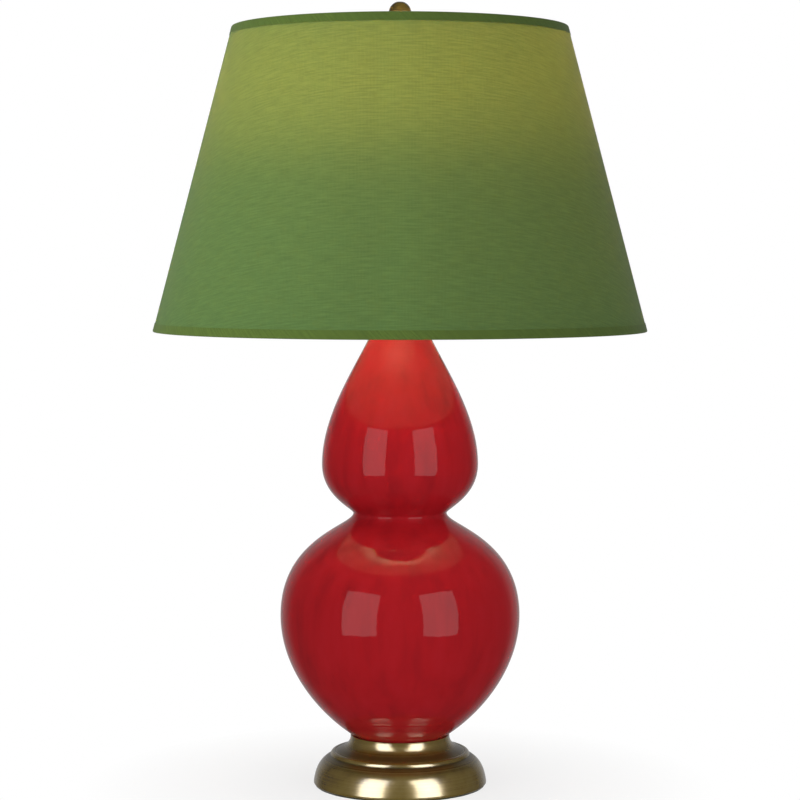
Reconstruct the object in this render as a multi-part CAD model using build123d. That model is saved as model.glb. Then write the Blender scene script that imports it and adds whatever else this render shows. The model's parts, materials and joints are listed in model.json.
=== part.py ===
from build123d import *
import math
import os

# A table lamp: a glazed double gourd on a stepped brass foot, with a harp that
# carries a tapered fabric shade under a ball finial.
# Lengths are in millimetres. +Z is up and -Y is the front. The origin is the
# middle of the felt's underside. Every round piece is turned about Z unless its
# function says otherwise.

# ---- clearances ----
fixed_gap = 0.1  # between round faces of pieces that stay together
lift_gap = 0.3  # between round faces of pieces that lift off each other
pivot_gap = 0.08  # radial play of a pin that turns in its hole
rod_clearance = 0.35  # radial room of a plain hole round the threaded rod

# ---- wire ----
wire_sides = 8  # flats round every drawn wire

# ---- foot ----
felt_thickness = 1.2
felt_inset = 1.4  # felt's edge inside the foot's
foot_radius = 87.4
foot_wall = 1.5
foot_rim_round = 1.2
foot_edge_height = 2.8  # felt to the start of the dome
foot_hem_width = 9.4  # rim turned in over the felt
dome_height = 26.2
dome_edge_pull = 12.5  # how far the dome runs steeply up from its edge
dome_top_pull = 12.5  # how far it runs flat into the bead
dome_edge_lean = 8.5  # degrees from upright
dome_top_lean = 25.0  # degrees from level
bead_centre_radius = 66.3
bead_section = 4.2
bead_rise = 0.4
groove_width = 1.3
groove_depth = 0.7
cove_radius = 12.5
cove_start_angle = 65.0  # degrees below level, seen from the cove's centre
lip_radius = 50.0
lip_width = 1.8
lip_height = 1.0
seat_height = 49.9  # floor to the plate that carries the gourd

# ---- cord inlet ----
inlet_height = 10.4
inlet_radius = 3.6
bushing_wall = 1.5
bushing_flange_width = 2.6
bushing_flange_depth = 1.4  # proud of the foot's widest edge
bushing_edge_bevel = 0.7
bushing_inner_length = 9.0

# ---- weight and rod ----
weight_radius = 60.0
weight_underside = 12.0
weight_thickness = 17.0
weight_draft = 2.0
weight_boss_radius = 27.0
weight_recess_radius = 17.0
weight_recess_depth = 7.0
rod_radius = 4.85
rod_bore_radius = 3.3
rod_below_nut = 1.5
washer_radius = 14.0
washer_thickness = 1.6
lock_washer_radius = 8.6
lock_washer_thickness = 1.2
lock_washer_teeth = 8
lock_washer_notch_depth = 1.2
lock_washer_notch_width = 1.6
rod_nut_across_flats = 17.5
rod_nut_height = 4.8

# ---- gourd ----
foot_gasket_thickness = 1.0
foot_gasket_inner_radius = 30.0
foot_gasket_inset = 1.0  # inside the gourd's base
gourd_wall = 6.0
gourd_floor = 7.0
gourd_base_radius = 47.4
gourd_base_hole_radius = 8.0
belly_radius = 120.7
belly_rise = 122.0
waist_radius = 47.0
waist_rise = 225.3
crown_radius = 78.6
crown_rise = 274.8
neck_radius = 24.4
gourd_height = 422.2
base_flare_angle = 57.0  # degrees from upright
base_flare = 42.3  # how far the base runs straight out
belly_lower_pull = 53.6  # how far the belly stays upright below its widest ring
belly_upper_pull = 77.8
waist_lower_pull = 13.5
waist_upper_pull = 4.6
crown_lower_pull = 33.0
crown_upper_pull = 62.1
neck_pull = 23.2

# ---- neck ----
neck_gasket_thickness = 1.0
neck_gasket_inset = 0.4
cap_overhang = 2.1
cap_edge_height = 1.8
cap_height = 10.0
cap_top_radius = 12.0
cap_wall = 1.4
spacer_height = 14.0
spacer_radius = 8.0
spacer_bulge = 2.5
spacer_band = 2.0

# ---- harp ----
saddle_thickness = 1.2
saddle_width = 12.0
saddle_flat_half = 13.0
saddle_arm_rise = 10.0
saddle_bend_radius = 4.0
saddle_tab_width = 3.4
saddle_tab_length = 15.0
harp_foot_half_width = 27.5
harp_wire_radius = 1.9
harp_straight = 20.0  # upright stretch of each leg above the saddle's tab
harp_widest_half = 55.0
harp_belly_rise = 120.0  # leg's foot to the widest place
harp_rise = 218.0  # leg's foot to the wire's top
harp_belly_half = 35.0  # half the height of the side's widest stretch
harp_lean = 3.0  # the side's lean inward over that stretch
harp_top_half = 31.0  # half the width of the top's corners
harp_foot_bend = 80.0
harp_belly_bend = 100.0
harp_top_bend = 26.0
ferrule_wall = 1.0
ferrule_length = 12.0
ferrule_on_tab = 6.0
harp_block_radius = 5.5
harp_block_height = 6.0
stud_rise = 5.9  # block to the seat that carries the shade
stud_shank_radius = 2.5
stud_head_radius = 4.2
stud_head_height = 1.6
stud_collar_radius = 4.1
stud_seat_radius = 7.0
stud_seat_edge = 1.6
stud_thread_radius = 3.1
stud_thread_length = 13.0

# ---- lampholder ----
holder_radius = 17.2
holder_wall = 0.8
collar_radius = 7.5
collar_height = 6.0
holder_cap_height = 23.5
holder_cap_bowl = 16.0  # height at which the cap's bowl turns upright
holder_bowl_pull = 5.0
shell_tuck = 6.0  # shell inside the cap's rim
shell_height = 37.0  # above the cap's rim
shell_lip = 0.7
shell_bead = 0.5
shell_bead_rise = 7.5
liner_wall = 0.5
liner_drop = 1.0  # below the shell's lip
insulator_radius = 14.2
insulator_drop = 9.0  # below the cap's rim
insulator_height = 19.0
insulator_skirt_height = 3.0
screw_shell_wall = 0.5
screw_shell_height = 23.0
centre_contact_leaf = 0.4  # sheet thickness
centre_contact_height = 1.9
centre_contact_tongue = 1.5  # end bent down past the raised middle
centre_contact_bend = 0.5
centre_contact_length = 15.0
centre_contact_width = 5.0
terminal_radius = 2.4
terminal_length = 4.0
terminal_drop = 4.0  # below the cap's rim

# ---- switch ----
switch_rise = 4.0  # stem's axis above the holder cap's rim
switch_stem_radius = 1.6
switch_slot_room = 2.5  # round the stem, each side
switch_depth = 10.0  # how far the stem reaches into the insulator
switch_stand_off = 3.0  # knob clear of the shell
knob_radius = 4.4
knob_length = 7.0
knob_bevel = 1.0
knob_paddle_root = 3.0  # paddle sunk in the hub
knob_paddle_length = 11.0
knob_paddle_swell = 3.0  # where the paddle's sides start to bow outward
knob_paddle_half_width = 7.0
knob_paddle_half_thickness = 1.7

# ---- bulb ----
bulb_cap_radius = 13.1
bulb_cap_wall = 0.4
bulb_cap_height = 20.0
bulb_tip_radius = 4.8
bulb_tip_height = 2.0
bulb_insulator_height = 4.5
bulb_glass_wall = 0.8
bulb_neck_radius = 15.5
bulb_neck_tuck = 9.0  # glass inside the cap
bulb_neck_rise = 8.0  # cap to the end of the glass's straight flare
bulb_neck_lean = 88.0  # degrees above level, where the bulb starts to swell
bulb_radius = 33.5
bulb_length = 134.0
bulb_widest_drop = 36.0  # below the bulb's top
bulb_neck_pull = 30.0
bulb_shoulder_pull = 26.0
bulb_stem_radius = 4.5
bulb_stem_length = 44.0
bulb_stem_flare = 9.0
filament_half_width = 13.0
filament_foot_half = 2.0
filament_sides = 4
filament_wire_radius = 0.45
filament_rise = 26.0  # glass stem to the leads' ends
filament_elbow = 6.0  # glass stem to the leads' elbows
filament_bow = 5.0  # rise of the filament's middle

# ---- shade ----
shade_height = 301.5  # bottom edge to top edge, upright
shade_bottom_radius = 246.8
shade_top_radius = 167.3
shade_cloth = 0.8
shade_backing = 0.6
trim_thickness = 0.5
trim_height = 8.0
rim_wire_radius = 1.5
rim_wire_sides = 6  # flats round the rim wires, which the tape hides
hub_recess = 11.5  # hub's underside below the shade's top edge
hub_radius = 12.0
hub_thickness = 2.0
arm_count = 3
arm_wire_radius = 1.7
arm_bend_radius = 5.0

# ---- finial ----
finial_base_radius = 8.0
finial_base_height = 3.0
finial_neck_radius = 4.6
finial_neck_height = 14.0
finial_neck_flare = 2.0  # height over which the base draws in to the neck
finial_ball_radius = 11.2
finial_ball_flat = 3.6
finial_crown_angle = 70.0  # above level, where the ball turns into its low crown
finial_crown = 0.3
finial_thread_room = 1.5  # bore beyond the stud's end

# ---- heights that follow ----
foot_top = seat_height + lip_height
gourd_base = seat_height + foot_gasket_thickness
gourd_top = gourd_base + gourd_height
cap_bottom = gourd_top + neck_gasket_thickness
cap_top = cap_bottom + cap_height
spacer_top = cap_top + spacer_height
saddle_top = spacer_top + saddle_thickness
holder_rim = saddle_top + holder_cap_height
shell_top = holder_rim + shell_height
insulator_bottom = holder_rim - insulator_drop
insulator_top = insulator_bottom + insulator_height
bulb_bottom = insulator_top + centre_contact_height
bulb_cap_bottom = bulb_bottom + bulb_tip_height + bulb_insulator_height
bulb_cap_top = bulb_cap_bottom + bulb_cap_height
bulb_top = bulb_bottom + bulb_length
tab_top = spacer_top + saddle_arm_rise + saddle_tab_length
harp_top = tab_top + harp_rise
block_top = harp_top + harp_block_height / 2
hub_bottom = block_top + stud_rise
hub_top = hub_bottom + hub_thickness
shade_top = hub_bottom + hub_recess
shade_bottom = shade_top - shade_height
bulb_axis_room = bulb_cap_radius + lift_gap
weight_top = weight_underside + weight_thickness
washer_top = weight_underside + weight_recess_depth
nut_bottom = washer_top - washer_thickness - lock_washer_thickness - rod_nut_height
rod_hole = rod_radius + rod_clearance
threaded_hole = rod_radius + fixed_gap

# A solid placed by the middle of its lower end.
END = (Align.CENTER, Align.CENTER, Align.MIN)


def turned(*edges):
    """A solid turned about Z from the edges of one closed (radius, height) outline."""
    return revolve(Plane.XZ * make_face(Curve() + list(edges)), axis=Axis.Z)


def turned_points(*points):
    """A solid turned about Z from a closed outline of straight lines."""
    return revolve(Plane.XZ * make_face(Polyline(*points, close=True)), axis=Axis.Z)


def ring(inner, outer, bottom, top):
    """A plain ring with flat ends."""
    return turned_points((inner, bottom), (outer, bottom), (outer, top), (inner, top))


def hexagon_nut(across_flats, bottom, height):
    """A six-sided nut, its corners turned off at both ends, on the threaded rod."""
    corner = across_flats / math.sqrt(3)
    chamfer_height = height / 6
    body = extrude(RegularPolygon(corner, 6), height)
    blank = turned_points(
        (threaded_hole, 0),
        (across_flats / 2, 0),
        (corner, chamfer_height),
        (corner, height - chamfer_height),
        (across_flats / 2, height),
        (threaded_hole, height),
    )
    return Pos(0, 0, bottom) * (body & blank)


def along_front(shape):
    """Turns a piece made along +Z to run along -Y, away from the lamp's axis."""
    return Rot(90, 0, 0) * shape


def polar(centre, radius, angle):
    """The point at an angle, in degrees, on a circle of the (radius, height) plane."""
    turn = math.radians(angle)
    return (centre[0] + radius * math.cos(turn), centre[1] + radius * math.sin(turn))


def quarter_round(start, end):
    """A rounded corner that leaves its start upright and reaches its end level."""
    corner = (start[0], end[1])
    pull = 0.5523  # makes the curve a quarter of an ellipse
    start_handle = (start[0], start[1] + pull * (corner[1] - start[1]))
    end_handle = (end[0] + pull * (corner[0] - end[0]), end[1])
    return Bezier(start, start_handle, end_handle, end)


# ---- foot ----


def dome_edge(inset):
    """The dome's swelling curve, from the rim's edge to the bead."""
    start = (foot_radius - inset, felt_thickness + foot_edge_height)
    outer_end = (bead_centre_radius + bead_section, start[1] + dome_height)
    end = polar(outer_end, -inset, 90 - dome_top_lean)
    start_handle = polar(start, dome_edge_pull, 90 + dome_edge_lean)
    end_handle = polar(end, dome_top_pull, -dome_top_lean)
    return Bezier(start, start_handle, end_handle, end)


def foot_edges(inset, groove):
    """The foot's section from the rim's edge up to the cove's end."""
    dome = dome_edge(inset)
    bead_height = felt_thickness + foot_edge_height + dome_height + bead_rise
    bead_centre = (bead_centre_radius, bead_height)
    section = bead_section - inset
    bead_side = polar(bead_centre, section, 0)
    bead_top = polar(bead_centre, section, 90)
    shoulder_outside = (bead_centre_radius - groove_width, bead_height + bead_section)
    shoulder = polar(shoulder_outside, -inset, 45)
    groove_bottom = (
        (bead_top[0] + shoulder[0]) / 2,
        (bead_top[1] + shoulder[1]) / 2 - groove,
    )
    cove_centre = (lip_radius + cove_radius, seat_height)
    cove = cove_radius + inset
    start_angle = 180 + cove_start_angle
    end_angle = 180 + math.degrees(math.asin(inset / cove))
    cove_start = polar(cove_centre, cove, start_angle)
    cove_middle = polar(cove_centre, cove, (start_angle + end_angle) / 2)
    cove_end = polar(cove_centre, cove, end_angle)
    return [
        dome,
        Line(dome @ 1, bead_side),
        quarter_round(bead_side, bead_top),
        Line(bead_top, groove_bottom),
        Line(groove_bottom, shoulder),
        Line(shoulder, cove_start),
        ThreePointArc(cove_start, cove_middle, cove_end),
    ]


def foot_blank(groove, inset):
    """The foot's outer form as a solid without its hollow."""
    edges = foot_edges(inset, groove)
    start = edges[0] @ 0
    end = edges[-1] @ 1
    return turned(
        *edges,
        Line(end, (0, end.Y)),
        Line((0, end.Y), (0, felt_thickness)),
        Line((0, felt_thickness), (start.X, felt_thickness)),
        Line((start.X, felt_thickness), start),
    )


def foot_inside():
    """The shell's inside, in straight stretches that never thin the wall."""
    dome = dome_edge(foot_wall)
    cove_centre = (lip_radius + cove_radius, seat_height)
    cove = cove_radius + foot_wall
    start_angle = 180 + cove_start_angle
    end_angle = 180 + math.degrees(math.asin(foot_wall / cove))
    half_turn = (start_angle - end_angle) / 2
    corner = polar(cove_centre, cove / math.cos(math.radians(half_turn)), start_angle - half_turn)
    cove_start = polar(cove_centre, cove, start_angle)
    cove_end = polar(cove_centre, cove, end_angle)
    return [dome @ 0, dome @ 0.5, dome @ 1, cove_start, corner, cove_end]


def brass_foot():
    """Spun shell with a hemmed rim, dome, bead, cove and a plate under the gourd."""
    outside = foot_edges(0, groove_depth)
    inside = foot_inside()
    hem_inner = foot_radius - foot_hem_width
    hem_top = felt_thickness + foot_wall
    lip_inner = lip_radius - lip_width
    plate_under = seat_height - foot_wall
    rest = Polyline(
        outside[-1] @ 1,
        (lip_radius, foot_top),
        (lip_inner, foot_top),
        (lip_inner, seat_height),
        (rod_hole, seat_height),
        (rod_hole, plate_under),
        *reversed(inside),
        (foot_radius - foot_wall, hem_top),
        (hem_inner, hem_top),
        (hem_inner, felt_thickness),
        (foot_radius - foot_rim_round, felt_thickness),
        (foot_radius, felt_thickness + foot_rim_round),
        outside[0] @ 0,
    )
    shell = turned(*outside, rest)
    return shell - inlet_cylinder(inlet_radius + bushing_wall + fixed_gap, foot_radius)


def inlet_cylinder(radius, length):
    """A cylinder on the cord inlet's axis, from the middle of the foot to the back."""
    return Pos(0, 0, inlet_height) * Rot(-90, 0, 0) * Cylinder(radius, length, align=END)


def cord_bushing():
    """Bushing that lines the cord's hole, its flange shaped to the dome's slope."""
    reach = foot_radius + bushing_flange_depth
    sleeve_radius = inlet_radius + bushing_wall
    sleeve_start = foot_radius - foot_wall - bushing_inner_length
    sleeve = inlet_cylinder(sleeve_radius, reach) - inlet_cylinder(sleeve_radius, sleeve_start)
    flange = inlet_cylinder(sleeve_radius + bushing_flange_width, reach)
    flange -= foot_blank(0, -fixed_gap)
    flange = chamfer(flange.edges().sort_by(Axis.Y)[-1], bushing_edge_bevel)
    return sleeve + flange - inlet_cylinder(inlet_radius, reach + 1)


def felt_pad():
    """Felt disc glued under the foot's hem."""
    return Pos(0, 0, felt_thickness / 2) * Cylinder(foot_radius - felt_inset, felt_thickness)


def foot_weight():
    """Cast weight whose boss is drawn up against the foot's plate."""
    plate_under = seat_height - foot_wall
    return turned_points(
        (rod_hole, washer_top),
        (weight_recess_radius, washer_top),
        (weight_recess_radius, weight_underside),
        (weight_radius, weight_underside),
        (weight_radius - weight_draft, weight_top),
        (weight_boss_radius + weight_draft, weight_top),
        (weight_boss_radius, plate_under),
        (rod_hole, plate_under),
    )


def rod_washer():
    """Flat washer in the weight's recess."""
    return ring(rod_hole, washer_radius, washer_top - washer_thickness, washer_top)


def rod_lock_washer():
    """Toothed washer between the flat washer and the nut."""
    top = washer_top - washer_thickness
    washer = ring(rod_hole, lock_washer_radius, top - lock_washer_thickness, top)
    cutter = Box(2 * lock_washer_notch_depth, lock_washer_notch_width, 4 * lock_washer_thickness)
    notch = Pos(lock_washer_radius, 0, top) * cutter
    for index in range(lock_washer_teeth):
        washer -= Rot(0, 0, index * 360 / lock_washer_teeth) * notch
    return washer


def rod_nut():
    """Nut that pulls the weight, foot and gourd together."""
    return hexagon_nut(rod_nut_across_flats, nut_bottom, rod_nut_height)


def threaded_rod():
    """Hollow rod from the nut to the lampholder's cap, with the lead's passage."""
    top = saddle_top + collar_height
    return ring(rod_bore_radius, rod_radius, nut_bottom - rod_below_nut, top)


# ---- gourd ----


def gourd_edges(inset, bottom):
    """One side of the double gourd, from its base to its neck."""
    base = (gourd_base_radius - inset, bottom)
    belly = (belly_radius - inset, gourd_base + belly_rise)
    waist = (waist_radius - inset, gourd_base + waist_rise)
    crown = (crown_radius - inset, gourd_base + crown_rise)
    neck = (neck_radius - inset, gourd_top)
    base_out = polar(base, base_flare, 90 - base_flare_angle)
    return [
        Bezier(base, base_out, polar(belly, belly_lower_pull, -90), belly),
        Bezier(belly, polar(belly, belly_upper_pull, 90), polar(waist, waist_lower_pull, -90), waist),
        Bezier(waist, polar(waist, waist_upper_pull, 90), polar(crown, crown_lower_pull, -90), crown),
        Bezier(crown, polar(crown, crown_upper_pull, 90), polar(neck, neck_pull, -90), neck),
    ]


def gourd_body():
    """Thrown double gourd with an even wall, open at its neck and holed at its base."""
    outside = gourd_edges(0, gourd_base)
    floor_top = gourd_base + gourd_floor
    inside = gourd_edges(gourd_wall, floor_top)
    mouth = Line(outside[-1] @ 1, inside[-1] @ 1)
    floor = Polyline(
        inside[0] @ 0,
        (gourd_base_hole_radius, floor_top),
        (gourd_base_hole_radius, gourd_base),
        outside[0] @ 0,
    )
    return turned(*outside, mouth, *inside, floor)


def foot_gasket():
    """Flat gasket between the foot's plate and the gourd."""
    outer = gourd_base_radius - foot_gasket_inset
    return ring(foot_gasket_inner_radius, outer, seat_height, gourd_base)


def neck_gasket():
    """Flat gasket on the gourd's neck."""
    inner = neck_radius - gourd_wall + neck_gasket_inset
    return ring(inner, neck_radius - neck_gasket_inset, gourd_top, cap_bottom)


def vase_cap():
    """Brass cap that covers the gourd's neck, coved up to the spacer."""
    rim = neck_radius + cap_overhang
    hollow = neck_radius - gourd_wall + neck_gasket_inset
    edge_top = cap_bottom + cap_edge_height
    cove_corner = ((rim + 3 * cap_top_radius) / 4, (3 * edge_top + cap_top) / 4)
    cove = Bezier((rim, edge_top), cove_corner, (cap_top_radius, cap_top - cap_wall))
    rest = Polyline(
        (cap_top_radius, cap_top - cap_wall),
        (cap_top_radius, cap_top),
        (rod_hole, cap_top),
        (rod_hole, cap_top - cap_wall),
        (cap_top_radius - cap_wall, cap_top - cap_wall),
        (hollow, cap_bottom + cap_wall),
        (hollow, cap_bottom),
        (rim, cap_bottom),
        (rim, edge_top),
    )
    return turned(cove, rest)


def neck_spacer():
    """Turned spacer with a rounded waist band, between the cap and the saddle."""
    low = cap_top + spacer_band
    high = spacer_top - spacer_band
    bulge = (spacer_radius + spacer_bulge, (low + high) / 2)
    rest = Polyline(
        (spacer_radius, high),
        (spacer_radius, spacer_top),
        (rod_hole, spacer_top),
        (rod_hole, cap_top),
        (spacer_radius, cap_top),
        (spacer_radius, low),
    )
    return turned(ThreePointArc((spacer_radius, low), bulge, (spacer_radius, high)), rest)


# ---- harp ----


def harp_saddle():
    """Bent strip clamped under the lampholder, its two tabs standing up."""
    middle = spacer_top + saddle_thickness / 2
    arm_top = spacer_top + saddle_arm_rise
    points = [
        (-harp_foot_half_width, tab_top),
        (-harp_foot_half_width, arm_top),
        (-saddle_flat_half, middle),
        (saddle_flat_half, middle),
        (harp_foot_half_width, arm_top),
        (harp_foot_half_width, tab_top),
    ]
    line = FilletPolyline(*points, radius=saddle_bend_radius)
    strip = extrude(Plane.XZ * trace(line, saddle_thickness), saddle_width / 2, both=True)
    trim_height_here = saddle_tab_length - saddle_bend_radius
    trim_width = (saddle_width - saddle_tab_width) / 2
    trim_middle = (saddle_width + saddle_tab_width) / 4
    for side in (-1, 1):
        for edge in (-1, 1):
            block = Box(4 * saddle_thickness, trim_width, trim_height_here)
            height = tab_top - trim_height_here / 2
            strip -= Pos(side * harp_foot_half_width, edge * trim_middle, height) * block
    return strip - Pos(0, 0, middle) * Cylinder(rod_hole, 4 * saddle_thickness)


def harp_half():
    """Corners of half the harp's centreline with their bend radii, foot first."""
    foot = tab_top
    return [
        ((harp_foot_half_width, foot), None),
        ((harp_foot_half_width, foot + harp_straight + harp_foot_bend / 4), harp_foot_bend),
        ((harp_widest_half, foot + harp_belly_rise - harp_belly_half), harp_belly_bend),
        ((harp_widest_half - harp_lean, foot + harp_belly_rise + harp_belly_half), harp_belly_bend),
        ((harp_top_half, harp_top), harp_top_bend),
    ]


def harp_bow():
    """One wire bent to a loop round the bulb, with a block for the swivel stud."""
    half = harp_half()
    right = [corner for corner, bend in half]
    left = [(-across, height) for across, height in right]
    bends = [bend for corner, bend in half[1:]]
    line = FilletPolyline(*left, *reversed(right), radius=bends + bends[::-1])
    path = Wire((Plane.XZ * line).edges())
    section = Plane(origin=path @ 0, z_dir=path % 0) * RegularPolygon(harp_wire_radius, wire_sides)
    bow = sweep(section, path)
    block = Cylinder(harp_block_radius, harp_block_height)
    hole = Cylinder(stud_shank_radius + pivot_gap, 2 * harp_block_height)
    return bow + Pos(0, 0, harp_top) * block - Pos(0, 0, harp_top) * hole


def harp_ferrule(side):
    """Sleeve that locks one leg of the harp to the saddle's tab."""
    inner = harp_wire_radius + pivot_gap
    bottom = tab_top - ferrule_on_tab
    sleeve = ring(inner, inner + ferrule_wall, bottom, bottom + ferrule_length)
    return Pos(side * harp_foot_half_width, 0, 0) * sleeve


def harp_stud():
    """Swivel stud: a riveted shank, a seat for the shade and a threaded end."""
    head_top = harp_top - harp_block_height / 2 - fixed_gap
    seat_bottom = block_top + fixed_gap
    thread_top = hub_bottom + stud_thread_length
    return turned_points(
        (0, head_top - stud_head_height),
        (stud_head_radius, head_top - stud_head_height),
        (stud_head_radius, head_top),
        (stud_shank_radius, head_top),
        (stud_shank_radius, seat_bottom),
        (stud_collar_radius, seat_bottom),
        (stud_seat_radius, hub_bottom - stud_seat_edge),
        (stud_seat_radius, hub_bottom),
        (stud_thread_radius, hub_bottom),
        (stud_thread_radius, thread_top),
        (0, thread_top),
    )


# ---- lampholder ----


def holder_cap():
    """Bowl with a threaded collar that screws down on the rod."""
    collar_top = saddle_top + collar_height
    bowl_top = saddle_top + holder_cap_bowl
    start = (collar_radius, collar_top)
    end = (holder_radius, bowl_top)
    bowl = Bezier(start, polar(start, holder_bowl_pull, 0), polar(end, holder_bowl_pull, -90), end)
    rest = Polyline(
        end,
        (holder_radius, holder_rim),
        (holder_radius - holder_wall, holder_rim),
        (holder_radius - holder_wall, bowl_top),
        (bowl @ 0.5) + Vector(-holder_wall, holder_wall),
        (collar_radius, collar_top + holder_wall),
        (threaded_hole, collar_top + holder_wall),
        (threaded_hole, saddle_top),
        (collar_radius, saddle_top),
        start,
    )
    return turned(bowl, rest)


def holder_shell():
    """Shell with a rolled bead and lip, its foot pressed into the cap's rim."""
    tuck_radius = holder_radius - holder_wall - fixed_gap
    bottom = holder_rim - shell_tuck
    shoulder = holder_rim + fixed_gap
    bead = holder_rim + shell_bead_rise
    lip = shell_top - 2 * shell_lip
    inside = holder_radius - holder_wall
    shell = turned_points(
        (tuck_radius - holder_wall, bottom),
        (tuck_radius, bottom),
        (tuck_radius, shoulder),
        (holder_radius, shoulder),
        (holder_radius, bead - shell_bead),
        (holder_radius + shell_bead, bead),
        (holder_radius, bead + shell_bead),
        (holder_radius, lip),
        (holder_radius + shell_lip, lip + shell_lip),
        (holder_radius, shell_top),
        (inside, shell_top),
        (inside, shoulder + holder_wall),
        (tuck_radius - holder_wall, shoulder + holder_wall),
    )
    return shell - switch_slot(bottom)


def switch_slot(bottom):
    """Slot at the front, open below, that lets the switch's stem through a wall."""
    width = 2 * (switch_stem_radius + switch_slot_room)
    height = switch_height() + width / 2 - bottom
    slot = Box(width, holder_radius, height, align=END)
    return Pos(0, -holder_radius, bottom) * slot


def switch_height():
    """Height of the switch's axis."""
    return holder_rim + switch_rise


def liner_outer():
    """Outside radius of the fibre liner."""
    return holder_radius - holder_wall - fixed_gap


def holder_liner():
    """Fibre sleeve between the shell and the screw shell."""
    bottom = holder_rim + 2 * fixed_gap + holder_wall
    liner = ring(liner_outer() - liner_wall, liner_outer(), bottom, shell_top - liner_drop)
    return liner - switch_slot(bottom)


def holder_insulator():
    """Moulded body that carries the contacts and the switch."""
    skirt_radius = holder_radius - 2 * holder_wall - 2 * fixed_gap
    skirt = insulator_bottom + insulator_skirt_height
    body = turned_points(
        (0, insulator_bottom),
        (skirt_radius, insulator_bottom),
        (skirt_radius, skirt),
        (insulator_radius, skirt),
        (insulator_radius, insulator_top),
        (0, insulator_top),
    )
    pocket = Pos(0, 0, insulator_bottom) * Cylinder(rod_hole, 2 * insulator_skirt_height)
    stem_hole = Cylinder(switch_stem_radius + pivot_gap, 2 * holder_radius)
    stem_end = switch_start()
    stem_hole = Pos(0, stem_end - holder_radius + fixed_gap, switch_height()) * along_front(stem_hole)
    body = body - pocket - stem_hole
    for side in (-1, 1):
        body -= terminal_screw(side, fixed_gap)
    return body


def terminal_screw(side, room):
    """Binding screw on one side of the insulator, grown by the room it needs."""
    height = holder_rim - terminal_drop
    start = insulator_radius - terminal_length - room
    screw = Cylinder(terminal_radius + room, terminal_length + room, align=END)
    return Pos(0, 0, height) * Rot(0, 90 * side, 0) * Pos(0, 0, start) * screw


def terminal_screws():
    """The two binding screws."""
    return Compound([terminal_screw(side, 0) for side in (-1, 1)])


def screw_shell():
    """Metal sleeve that takes the bulb's cap."""
    inner = bulb_axis_room
    return ring(inner, inner + screw_shell_wall, insulator_top, insulator_top + screw_shell_height)


def centre_contact():
    """Bent leaf under the bulb's tip."""
    base = insulator_top + centre_contact_leaf / 2
    raised = bulb_bottom - centre_contact_leaf / 2
    half = centre_contact_length / 2
    tongue = (half / 2 + centre_contact_tongue, (base + raised) / 2)
    points = [(-half, base), (-half / 3, base), (0, raised), (half / 2, raised), tongue]
    line = FilletPolyline(*points, radius=centre_contact_bend)
    leaf = Plane.XZ * trace(line, centre_contact_leaf)
    return extrude(leaf, centre_contact_width / 2, both=True)


# ---- switch ----


def switch_start():
    """Where the switch's stem ends inside the insulator, along Y."""
    return switch_depth - insulator_radius


def switch_stem():
    """Stem that turns the switch, running out through the shell's slot."""
    length = knob_face() + knob_length / 2 + switch_start()
    stem = Cylinder(switch_stem_radius, length, align=END)
    return Pos(0, switch_start(), switch_height()) * along_front(stem)


def knob_face():
    """How far in front of the axis the knob starts."""
    return holder_radius + shell_bead + switch_stand_off


def switch_knob():
    """Turn knob: a round hub and a flat paddle for finger and thumb."""
    hub = turned_points(
        (0, 0),
        (knob_radius, 0),
        (knob_radius, knob_length - knob_bevel),
        (knob_radius - knob_bevel, knob_length),
        (0, knob_length),
    )
    paddle_start = knob_length - knob_paddle_root
    paddle_end = knob_length + knob_paddle_length
    half_width = knob_paddle_half_width
    outline = Curve() + [
        Line((-half_width / 2, paddle_start), (half_width / 2, paddle_start)),
        Bezier(
            (half_width / 2, paddle_start),
            (half_width, paddle_start + knob_paddle_swell),
            (half_width, paddle_end),
            (0, paddle_end),
        ),
        Bezier(
            (0, paddle_end),
            (-half_width, paddle_end),
            (-half_width, paddle_start + knob_paddle_swell),
            (-half_width / 2, paddle_start),
        ),
    ]
    paddle = extrude(Plane.XZ * make_face(outline), knob_paddle_half_thickness, both=True)
    knob = hub + paddle
    socket = Cylinder(switch_stem_radius + fixed_gap, knob_length / 2 + fixed_gap, align=END)
    return Pos(0, -knob_face(), switch_height()) * along_front(knob - socket)


# ---- bulb ----


def bulb_tip():
    """Contact button under the bulb's cap."""
    bevel = bulb_tip_height / 2
    return turned_points(
        (0, bulb_bottom),
        (bulb_tip_radius - bevel, bulb_bottom),
        (bulb_tip_radius, bulb_bottom + bevel),
        (bulb_tip_radius, bulb_bottom + bulb_tip_height),
        (0, bulb_bottom + bulb_tip_height),
    )


def bulb_insulator():
    """Glass cone between the contact button and the cap."""
    bottom = bulb_bottom + bulb_tip_height
    return turned_points(
        (0, bottom),
        (bulb_tip_radius + 1, bottom),
        (bulb_cap_radius - 1, bulb_cap_bottom),
        (0, bulb_cap_bottom),
    )


def bulb_cap():
    """Screw cap, closed below by the glass cone."""
    wall = bulb_cap_wall
    return turned_points(
        (bulb_tip_radius + 1, bulb_cap_bottom),
        (bulb_cap_radius, bulb_cap_bottom),
        (bulb_cap_radius, bulb_cap_top),
        (bulb_cap_radius - wall, bulb_cap_top),
        (bulb_cap_radius - wall, bulb_cap_bottom + wall),
        (bulb_tip_radius + 1, bulb_cap_bottom + wall),
    )


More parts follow.
